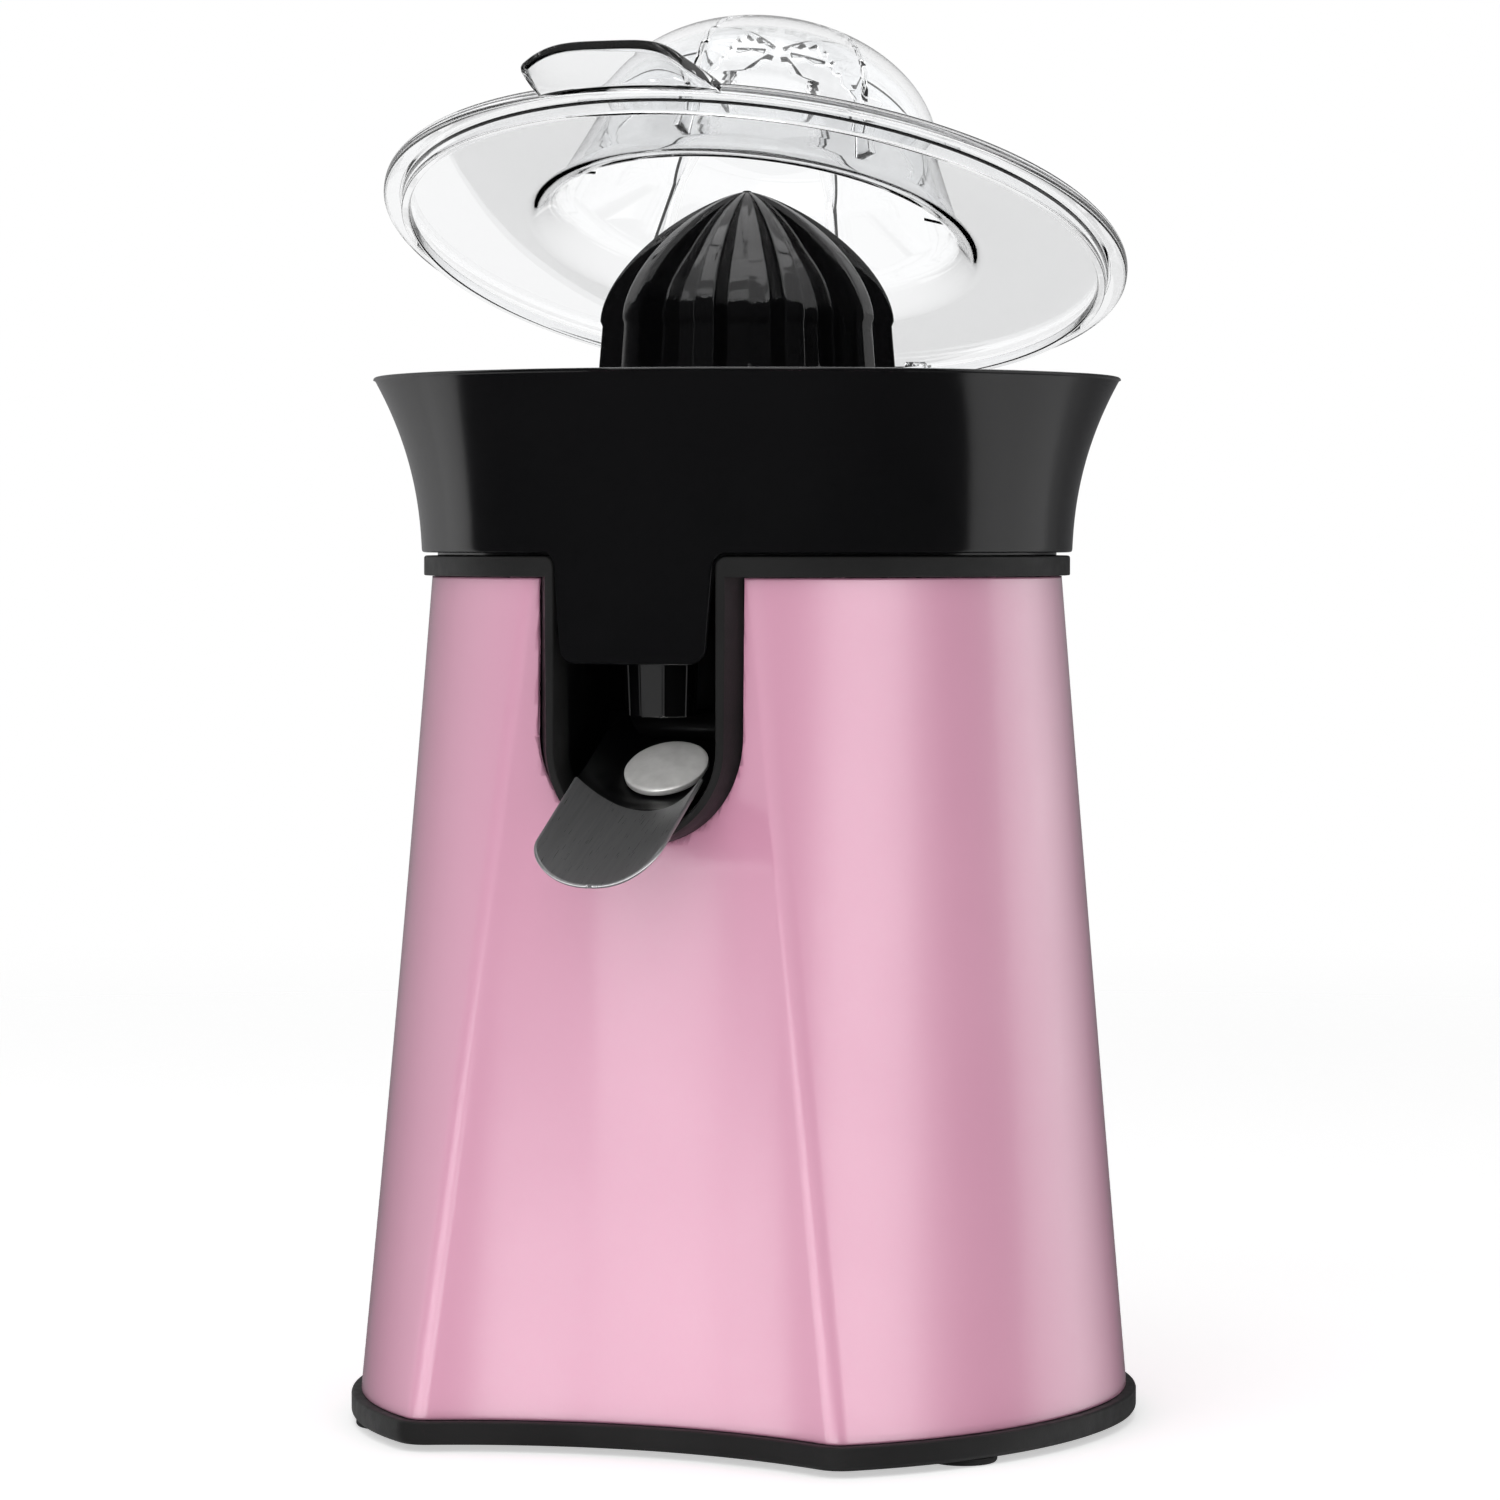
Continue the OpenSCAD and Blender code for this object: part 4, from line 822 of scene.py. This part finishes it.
rz = np.concatenate([[214.5, 216, 218], np.linspace(220, 249.5, 26), 249.5 + 29.5 * np.sin(np.linspace(0, math.pi / 2, 34)[1:-1])])
rings = [circ(34.6, 212.0), circ(36.3, 212.0), circ(36.6, 212.15), circ(36.8, 212.5), circ(36.8, 213.2), circ(36.6, 213.6)]
rings += [rib_ring(z) for z in rz]
top = rib_ring(278.9)
rings.append([(x * 0.75, y * 0.75, 279.15) for x, y, z in top])
rings.append([(x * 0.3, y * 0.3, 279.28) for x, y, z in top])
outer = rings
innr = [circ(0.4, 268.6), circ(6, 268.2), circ(15, 261.5), circ(22.4, 249), circ(26, 214.6), circ(27.9, 212.3), circ(28.4, 212.0)]
ream = loft("reamer", outer + innr, close_rings=True)
hub = lathe("hub", fil([(4.75, 221), (8, 221), (8, 270), (4.75, 270)], 0.5), 64)
fins = [moved(box_mesh("fin", (6.5, -0.9, 228), (25.0, 0.9, 240), 0.25, 2), rot(90 * k + 20, "Z")) for k in range(4)]
done(join("reamer_all", ream, hub, *fins), "reamer_black", "reamer", GLOSS, ["reamer_cone"], angle=38)

# ------------------------------------------------------------------ clear lid, closed about the hinge, then opened
A, C, NECK, ROOT, T, HH = 39.6, 23.4, 46.3, 53.2, 2.2, 50.4


def dome_out(n):
    o = [(ROOT - (ROOT - NECK) * math.sin(s), 0.8 + 7.2 * (1 - math.cos(s))) for s in np.linspace(0, math.pi / 2, 14)]
    o += [(NECK + (A - NECK) * k / 8, 8 + (C - 8) * k / 8) for k in range(1, 8)]
    o += [(A * math.cos(s), C + (HH - C) * math.sin(s)) for s in np.linspace(0, math.pi / 2, n)]
    return o


def dome_in(n):
    o = [((A - T) * math.cos(s), C + (HH - T - C) * math.sin(s)) for s in np.linspace(math.pi / 2, 0, n)]
    o += [(NECK - T + (A - NECK) * k / 8, 8 + (C - 8) * k / 8) for k in range(7, 0, -1)]
    o += [(ROOT - T - (ROOT - NECK) * math.sin(s), -1.2 + 9.2 * (1 - math.cos(s))) for s in np.linspace(math.pi / 2, 0, 14)]
    return o


def in_r(h):
    if h > C:
        return (A - T) * math.sqrt(max(0, 1 - ((h - C) / (HH - T - C)) ** 2))
    return NECK - T + (A - NECK) * (h - 8) / (C - 8) if h > 8 else NECK - T


rim_prof = fil([(79, -1.2, 0.3), (79, -4.2, 0.5), (81, -4.2, 0.5), (81, -1.2, 0.35), (85.5, -1.2, 0.9), (85.5, 1.3, 0.9), (81.7, 1.3, 0.5), (81.0, 0.8, 0.4)], 0.5, 5, closed=False)
lid = lathe("lid", rim_prof + dome_out(40) + dome_in(40), 224)


def grip_rib():
    pts = [(in_r(10) + 0.6, 10), (in_r(16) + 0.6, 16)]
    pts += [((A - T + 0.6) * math.cos(s), C + (HH - T + 0.6 - C) * math.sin(s)) for s in np.radians(np.linspace(0, 86, 24))]
    pts += [(3.5, 46.8), (6.3, 47.3), (9, 46), (11.8, 46.4), (14, 44), (17.5, 44), (18.5, 40.6), (21.7, 40.4), (21.6, 37),
            (25, 36.8), (24.7, 33.8), (28, 32.8), (28.4, 30.2), (34.5, 23.5), (38, 10.5)]
    o = prism("rib", np.array(fil(pts, 0.3, 3)), -0.9, 0.9, 0.25, 2)
    moved(o, rot(90, "X"))
    return o


for k in range(6):
    boolean(lid, moved(grip_rib(), rot(60 * k - 96, "Z")), "UNION")


def tab_pt(s, u, off):
    x = u * (20.8 - 2.6 * s ** 1.5)
    return (x, -(1 - s) * math.sqrt(84.3 ** 2 - x * x) - s * 100, 0.1 - off + s ** 1.2 * (3.2 - 4.8 * u ** 4))


secs = []
for s in np.concatenate([np.linspace(0, 0.9, 14), [0.94, 0.97, 0.99, 1.0]]):
    k = 1.0 if s < 0.93 else math.sqrt(max(1 - ((s - 0.93) / 0.075) ** 2, 0.02))
    t = 1.1 * k
    us = np.linspace(-1, 1, 41)
    sec = [tab_pt(s, u, -t) for u in us]
    sec += [tab_pt(s, 1 + 0.012 * math.cos(a), t * math.sin(a)) for a in np.linspace(-math.pi / 2, math.pi / 2, 7)[1:-1]]
    sec += [tab_pt(s, u, t) for u in us[::-1]]
    sec += [tab_pt(s, -1 - 0.012 * math.cos(a), t * math.sin(a)) for a in np.linspace(math.pi / 2, -math.pi / 2, 7)[1:-1]]
    secs.append(sec)
boolean(lid, loft("tab", secs), "UNION")
for s in (-1, 1):
    kn = lathe("kn", fil([(1.6, -2.7, 0.2), (4.2, -2.7, 0.5), (4.2, 2.7, 0.5), (1.6, 2.7, 0.2)], 0.4), 64)
    moved(kn, rot(90, "Y"))
    moved(kn, shift(s * 12.8, 88.5, 0))
    arm = box_mesh("arm", (s * 12.8 - 2.65, 81.5, -1.15), (s * 12.8 + 2.65, 86.6, 3.1), 0.5, 3)
    boolean(lid, arm, "UNION")
    boolean(lid, kn, "UNION")
cut = lathe("cut", [(0, -20), (1.62, -20), (1.62, 20), (0, 20)], 48)
moved(cut, rot(90, "Y"))
moved(cut, shift(0, 88.5, 0))
boolean(lid, cut)
cut = lathe("cut", [(0, -10.1), (4.8, -10.1), (4.8, 10.1), (0, 10.1)], 48)
moved(cut, rot(90, "Y"))
moved(cut, shift(0, 88.5, 0))
boolean(lid, cut)
moved(lid, shift(HINGE[0], HINGE[1], HINGE[2]) @ rot(-19.6, "X") @ shift(0, -HINGE[1], 0))
done(lid, "lid_clear", "lid", CLEAR, ["lid"], angle=34)

# ------------------------------------------------------------------ spout lever
ON_LEVER = shift(0, -36, 158.5) @ rot(29.5, "X")
EDGE_W, HALF_W = 6.8, 14.5


def trough(x, floor_w, e):
    return floor_w + (EDGE_W - floor_w) * (min(abs(x) / HALF_W, 1.0)) ** e


def lip_half(u):
    return HALF_W if u < 58 else HALF_W * max(0.0, 1 - ((u - 58) / 10.6) ** 2.3) ** (1 / 2.3)


def lip_mid(u, v):
    x = v * lip_half(u)
    return np.array([x, -u, trough(x, -1.3 + 3.5 * (u - 36) / 32.6, 2.2) - 0.4])


def patch_normal(f, u, v, e=1e-3):
    du = f(u + e, v) - f(u - e, v)
    dv = f(u, min(v + e, 1)) - f(u, max(v - e, -1))
    n = np.cross(dv, du)
    L = np.linalg.norm(n)
    n = n / L if L > 1e-12 else np.array([0, 0, 1.0])
    return n if n[2] > 0 else -n


def rounded_patch(name, f, us, nv, t, nedge=7):
    """A bent sheet of thickness t over f(u, v), v from -1 to 1, with full round side edges."""
    secs = []
    for u in us:
        vs = np.sin(np.linspace(-math.pi / 2, math.pi / 2, nv))
        mid = [f(u, v) for v in vs]
        nor = [patch_normal(f, u, v) for v in vs]
        sec = [m + n * t / 2 for m, n in zip(mid, nor)]
        for side in (1, -1):
            e = 1e-3
            tan = f(min(u + e, us[-1]), side) - f(u - e, side)
            tan /= max(np.linalg.norm(tan), 1e-12)
            n = patch_normal(f, u, side)
            o = np.cross(tan, n)
            o /= max(np.linalg.norm(o), 1e-12)
            if o[0] * side < 0:
                o = -o
            m = f(u, side)
            a_list = np.linspace(math.pi / 2, -math.pi / 2, nedge + 2)[1:-1]
            arc = [m + (t / 2) * (math.sin(a) * n + math.cos(a) * o) for a in a_list]
            if side == 1:
                sec += arc
                sec += [m2 - n2 * t / 2 for m2, n2 in zip(mid[::-1], nor[::-1])]
            else:
                sec += arc[::-1]
        secs.append(sec)
    return loft(name, secs)


us = np.concatenate([np.linspace(33.2, 58, 24), 58 + 10.597 * np.sin(np.linspace(0, math.pi / 2, 34)[1:])])
lip = rounded_patch("lip", lip_mid, us, 41, 0.95)
moved(lip, ON_LEVER)
done(lip, "spout_chute", "spout", BRUSHED, ["spout_lip"], angle=50)


def body_top(u, v):
    e = 5 if u < 27 else 5 - 2.8 * (u - 27) / 9
    f = -2.6 if u < 27 else -2.6 + 1.3 * (u - 27) / 9
    x = v * 14.35
    k = 0.55 + 0.45 * (u + 3) / 17 if u < 14 else 1.0
    h = trough(x, f, e)
    return np.array([x, -u, min(h, f + (EDGE_W - f) * k)])


def arc_u(u, v):
    """The front edge bulges towards the tip in the middle."""
    s = max(0.0, (u - 24) / 11.0)
    return u - 1.3 * s * abs(v) ** 2


secs = []
for u in np.concatenate([np.linspace(-3, 32.8, 30), [33.0, 33.2, 33.35, 33.5, 33.9]]):
    lift = 0.35 if u < 32.9 else max(0.0, 0.35 * (1 - ((u - 32.9) / 0.55) ** 2))
    if 30.6 < u < 32.4:
        lift -= 0.22
    vs = np.sin(np.linspace(-math.pi / 2, math.pi / 2, 41))
    topc = [body_top(arc_u(u, v), v) + np.array([0, 0, lift * (1 - abs(v) ** 6)]) for v in vs]
    bot = [p * np.array([1.0, 1, 1]) + np.array([math.copysign(0.9, p[0]) * min(abs(p[0]) / 14.35, 1) ** 8, 0, -2.0 - lift if u < 33.3 else -1.0]) for p in topc]
    secs.append(topc + bot[::-1])
ins = loft("insert", secs)
bar = lathe("bar", fil([(2.05, -18.6, 0.2), (3.6, -18.6, 0.5), (3.6, 18.6, 0.5), (2.05, 18.6, 0.2)], 0.4), 64)
moved(bar, rot(90, "Y"))
ped = lathe("ped", fil([(0, -6.0, 0), (8.3, -6.0, 0.3), (7.2, -5.6, 0.3), (7.2, -2.13, 0.2), (0, -2.13, 0)], 0.3), 96)
moved(ped, shift(0, -17.6, 0) @ rot(3.5, "X"))
body = join("spout_body_all", ins, bar, ped)
moved(body, ON_LEVER)
# the insert takes the same darkened material: painted shade under the bowl's apron
done(body, "spout_insert", "spout", BAY_PAINTED_SHADE, ["spout_body"], angle=40)

disc = lathe("disc", [(0, -1.15), (9.2, -1.15), (9.36, -1.1), (9.46, -0.98), (9.5, -0.8), (9.5, 0.1), (9.46, 0.25), (9.34, 0.36), (9.15, 0.42)] +
             [(9.1 * math.cos(a), 0.42 + 0.62 * math.sin(a)) for a in np.linspace(0.08, math.pi / 2, 22)], 144)
moved(disc, ON_LEVER @ shift(0, -17.6, 0) @ rot(3.5, "X"))
done(disc, "stopper_disc_metal", "spout", DISC, ["stopper_disc"], angle=40)
gas = lathe("gasket", fil([(0, -2.05, 0), (7.8, -2.05, 0.15), (8.2, -1.6, 0.15), (8.2, -1.2, 0.1), (0, -1.2, 0)], 0.15), 96)
moved(gas, ON_LEVER @ shift(0, -17.6, 0) @ rot(3.5, "X"))
done(gas, "stopper_gasket_rubber", "spout", RUBBER, ["stopper_gasket"], angle=40)

# ------------------------------------------------------------------ floor, soft studio light
def stage_mat(name):
    m = bpy.data.materials.new(name)
    m.use_nodes = True
    return m


fl = bpy.data.meshes.new("floor")
n = 96
R0 = 2.4
fl.from_pydata([(R0 * math.cos(2 * math.pi * k / n), R0 * math.sin(2 * math.pi * k / n), 0) for k in range(n)], [], [tuple(range(n))])
floor_obj = bpy.data.objects.new("floor", fl)
scene.collection.objects.link(floor_obj)
fm = stage_mat("floor_pale")
nt = fm.node_tree
p = nt.nodes["Principled BSDF"]
p.inputs["Base Color"].default_value = (0.9, 0.9, 0.9, 1)
p.inputs["Roughness"].default_value = 0.6
p.inputs["Specular IOR Level"].default_value = 0.2
p.inputs["Emission Color"].default_value = (1, 1, 1, 1)
p.inputs["Emission Strength"].default_value = 0.52
tr = nt.nodes.new("ShaderNodeBsdfTransparent")
mix = nt.nodes.new("ShaderNodeMixShader")
tc = nt.nodes.new("ShaderNodeTexCoord")
ln = nt.nodes.new("ShaderNodeVectorMath"); ln.operation = "LENGTH"
mr = nt.nodes.new("ShaderNodeMapRange")
mr.interpolation_type = "SMOOTHSTEP"
mr.inputs["From Min"].default_value = 0.45
mr.inputs["From Max"].default_value = 1.5
nt.links.new(tc.outputs["Object"], ln.inputs[0])
nt.links.new(ln.outputs["Value"], mr.inputs["Value"])
nt.links.new(mr.outputs["Result"], mix.inputs["Fac"])
nt.links.new(p.outputs["BSDF"], mix.inputs[1])
nt.links.new(tr.outputs["BSDF"], mix.inputs[2])
nt.links.new(mix.outputs["Shader"], nt.nodes["Material Output"].inputs["Surface"])
fl.materials.append(fm)
floor_obj.visible_glossy = False

world = bpy.data.worlds.new("studio")
scene.world = world
world.use_nodes = True
wn = world.node_tree
bg = wn.nodes["Background"]
lp = wn.nodes.new("ShaderNodeLightPath")
mc = wn.nodes.new("ShaderNodeMix")
mc.data_type = "RGBA"
mc.inputs[6].default_value = (1.0, 1.0, 1.0, 1)
mc.inputs[7].default_value = (0.058, 0.058, 0.061, 1)
md = wn.nodes.new("ShaderNodeMix")
md.data_type = "RGBA"
md.inputs[7].default_value = (0.335, 0.335, 0.335, 1)
through = wn.nodes.new("ShaderNodeMath")
through.operation = "SUBTRACT"
through.use_clamp = True
wn.links.new(lp.outputs["Is Glossy Ray"], through.inputs[0])
wn.links.new(lp.outputs["Is Transmission Ray"], through.inputs[1])
wn.links.new(through.outputs[0], mc.inputs[0])
wn.links.new(mc.outputs[2], md.inputs[6])
wn.links.new(lp.outputs["Is Diffuse Ray"], md.inputs[0])
wn.links.new(md.outputs[2], bg.inputs["Color"])
bg.inputs["Strength"].default_value = 1.0

VIEW_AZ = 20.24


def ring_light(name, radius, z0, z1, stops, heights, lit, others=False):
    """A round wall of soft light about the object. stops: (angle from the viewer's side, brightness); heights: (share of the height, factor)."""
    n, rows = 72, 12
    vs, fs = [], []
    for j in range(rows + 1):
        for i in range(n + 1):
            a = math.radians(VIEW_AZ - 180 + 360 * i / n)
            vs.append((radius * math.sin(a), -radius * math.cos(a), z0 + (z1 - z0) * j / rows))
    for j in range(rows):
        for i in range(n):
            q = j * (n + 1) + i
            fs.append((q, q + 1, q + n + 2, q + n + 1))
    me = bpy.data.meshes.new(name)
    me.from_pydata(vs, [], fs)
    uv = me.uv_layers.new(name="uv")
    for poly in me.polygons:
        for li in poly.loop_indices:
            vi = me.loops[li].vertex_index
            uv.data[li].uv = ((vi % (n + 1)) / n, (vi // (n + 1)) / rows)
    o = bpy.data.objects.new(name, me)
    scene.collection.objects.link(o)
    m = stage_mat(name)
    t = m.node_tree
    t.nodes.remove(t.nodes["Principled BSDF"])
    uvn = t.nodes.new("ShaderNodeUVMap")
    sx = t.nodes.new("ShaderNodeSeparateXYZ")
    t.links.new(uvn.outputs["UV"], sx.inputs[0])
    peak = max(b for _, b in stops)

    def curve(socket, pts, scale):
        c = t.nodes.new("ShaderNodeFloatCurve")
        cv = c.mapping.curves[0]
        pts = sorted(pts)
        cv.points[0].location = (pts[0][0], pts[0][1] / scale)
        cv.points[1].location = (pts[-1][0], pts[-1][1] / scale)
        for x, y in pts[1:-1]:
            cv.points.new(x, y / scale)
        c.mapping.update()
        t.links.new(socket, c.inputs["Value"])
        return c.outputs["Value"]

    across = curve(sx.outputs["X"], [((a + 180) / 360, b) for a, b in stops], peak)
    upward = curve(sx.outputs["Y"], heights, 1.0)
    mul = t.nodes.new("ShaderNodeMath")
    mul.operation = "MULTIPLY"
    t.links.new(across, mul.inputs[0])
    t.links.new(upward, mul.inputs[1])
    gain = t.nodes.new("ShaderNodeMath")
    gain.operation = "MULTIPLY"
    gain.use_clamp = False
    gain.inputs[1].default_value = peak
    t.links.new(mul.outputs[0], gain.inputs[0])
    em = t.nodes.new("ShaderNodeEmission")
    t.links.new(gain.outputs[0], em.inputs["Strength"])
    clear = t.nodes.new("ShaderNodeBsdfTransparent")
    add = t.nodes.new("ShaderNodeAddShader")
    t.links.new(em.outputs["Emission"], add.inputs[0])
    t.links.new(clear.outputs["BSDF"], add.inputs[1])
    t.links.new(add.outputs["Shader"], t.nodes["Material Output"].inputs["Surface"])
    me.materials.append(m)
    o.visible_camera = False
    o.visible_transmission = False
    o.visible_diffuse = False
    o.visible_shadow = False
    group = bpy.data.collections.new(name + "_group")
    for q in lit:
        group.objects.link(q)
    o.light_linking.receiver_collection = group
    if others:
        for q in group.collection_objects:
            q.light_linking.link_state = "EXCLUDE"
    return o


shell = bpy.data.objects["shell_lacquered"]
ring_light("soft_wall_lacquer", 1.6, -0.5, 0.9,
           [(-180, 0.15), (-140, 0.2), (-120, 0.45), (-100, 0.7), (-80, 0.55), (-60, 0.5), (-8, 0.5), (10, 0.4), (20, 0.8), (30, 2.2), (40, 2.7), (50, 2.5),
            (60, 1.5), (68, 0.7), (80, 0.3), (90, 0.4), (100, 1.2), (112, 1.45), (125, 1.05), (140, 0.4), (155, 0.15), (180, 0.15)],
           [(0, 0.9), (0.3, 1.0), (0.8, 1.0), (1, 0.8)], [shell])
ring_light("soft_wall_low", 1.62, -0.6, 0.24,
           [(-180, 0.0), (-80, 0.0), (-70, 0.0), (-65, 0.2), (-57, 1.5), (-50, 2.0), (-36, 2.1), (-30, 1.3), (-25, 0.0), (180, 0.0)],
           [(0, 1.0), (0.7, 1.0), (0.82, 0.95), (0.875, 0.45), (0.92, 0.0), (1, 0.0)], [shell])
ring_light("soft_wall_lower", 1.64, -0.6, 0.06,
           [(-180, 0.0), (-81, 0.0), (-75, 0.9), (-68, 1.7), (-62, 1.2), (-54, 0.1), (-34, 0.0), (-29, 1.1), (-25, 2.3), (-15, 2.5), (-8, 1.4), (-2, 0.1), (6, 0.0), (180, 0.0)],
           [(0, 1.0), (0.6, 1.0), (0.72, 0.95), (0.86, 0.5), (1, 0.0)], [shell])
ring_light("soft_wall_black", 1.5, -2.5, 2.0,
           [(-180, 0.12), (-150, 0.3), (-130, 0.55), (-117, 0.75), (-110, 0.2), (-105, 0.0), (-60, 0.0), (0, 0.0), (74, 0.0), (81, 0.1), (88, 0.8), (102, 0.7), (122, 0.5), (134, 0.15), (150, 0.05), (180, 0.12)],
           [(0, 1.0), (0.5, 1.0), (0.62, 1.0), (1, 1.0)], [shell], others=True)

ring_light("soft_wall_clear", 1.45, -1.2, 2.2, [(-180, 0.4), (-60, 0.5), (0, 0.55), (60, 0.5), (180, 0.4)], [(0, 0.7), (0.4, 1.0), (1, 1.0)],
           [bpy.data.objects["lid_clear"]])
chute = bpy.data.objects["spout_chute"]
disc_metal = bpy.data.objects["stopper_disc_metal"]
ring_light("soft_wall_metal", 1.3, -0.7, 1.3,
           [(-180, 0.3), (-120, 0.5), (-70, 4.5), (-40, 6.5), (0, 6.5), (40, 6.5), (70, 4.5), (120, 0.5), (180, 0.3)],
           [(0, 0.9), (0.36, 1.0), (0.42, 0.5), (0.5, 0.07), (0.75, 0.06), (1, 0.06)], [chute, disc_metal])
ring_light("soft_wall_nozzle", 1.28, -0.8, 0.9,
           [(-180, 0.3), (-110, 0.6), (-84, 1.3), (-74, 0.2), (-62, 0.2), (-50, 0.62), (-30, 0.62), (-22, 0.15), (-4, 0.1), (8, 1.6), (12, 1.6), (20, 0.12), (86, 0.2), (120, 0.3), (180, 0.3)],
           [(0, 1.0), (0.5, 1.0), (1, 1.0)], [bpy.data.objects["bowl_nozzle"]])


def linked_area(name, loc, aim, size, power, lit):
    """A soft square lamp that lights only the listed pieces and is not shaded by the others."""
    d = bpy.data.lights.new(name, "AREA")
    d.shape = "SQUARE"
    d.size = size
    d.energy = power
    o = bpy.data.objects.new(name, d)
    o.location = loc
    to = Vector(aim) - Vector(loc)
    o.rotation_euler = to.to_track_quat("-Z", "Y").to_euler()
    scene.collection.objects.link(o)
    only = bpy.data.collections.new(name + "_lit")
    for q in lit:
        only.objects.link(q)
    o.light_linking.receiver_collection = only
    shade = bpy.data.collections.new(name + "_shade")
    shade.objects.link(floor_obj)
    o.light_linking.blocker_collection = shade
    return o


linked_area("over_spout", (-0.25, -1.0, 0.75), (0.0, -0.08, 0.135), 0.5, 1.5, [chute])
linked_area("over_disc", (-0.15, -0.95, 0.72), (0.0, -0.053, 0.15), 0.35, 5.4, [disc_metal])

top = bpy.data.lights.new("top", "AREA")
top.shape = "RECTANGLE"
top.size, top.size_y = 1.6, 1.6
top.energy = 11
topo = bpy.data.objects.new("top", top)
topo.location = (0.0, -0.2, 2.1)
scene.collection.objects.link(topo)
key = bpy.data.lights.new("front", "AREA")
key.shape = "RECTANGLE"
key.size, key.size_y = 2.2, 2.2
key.energy = 15
keyo = bpy.data.objects.new("front", key)
keyo.location = (-0.1, -1.9, 1.1)
keyo.rotation_euler = (math.radians(64), 0, math.radians(-3))
keyo.visible_glossy = False
scene.collection.objects.link(keyo)
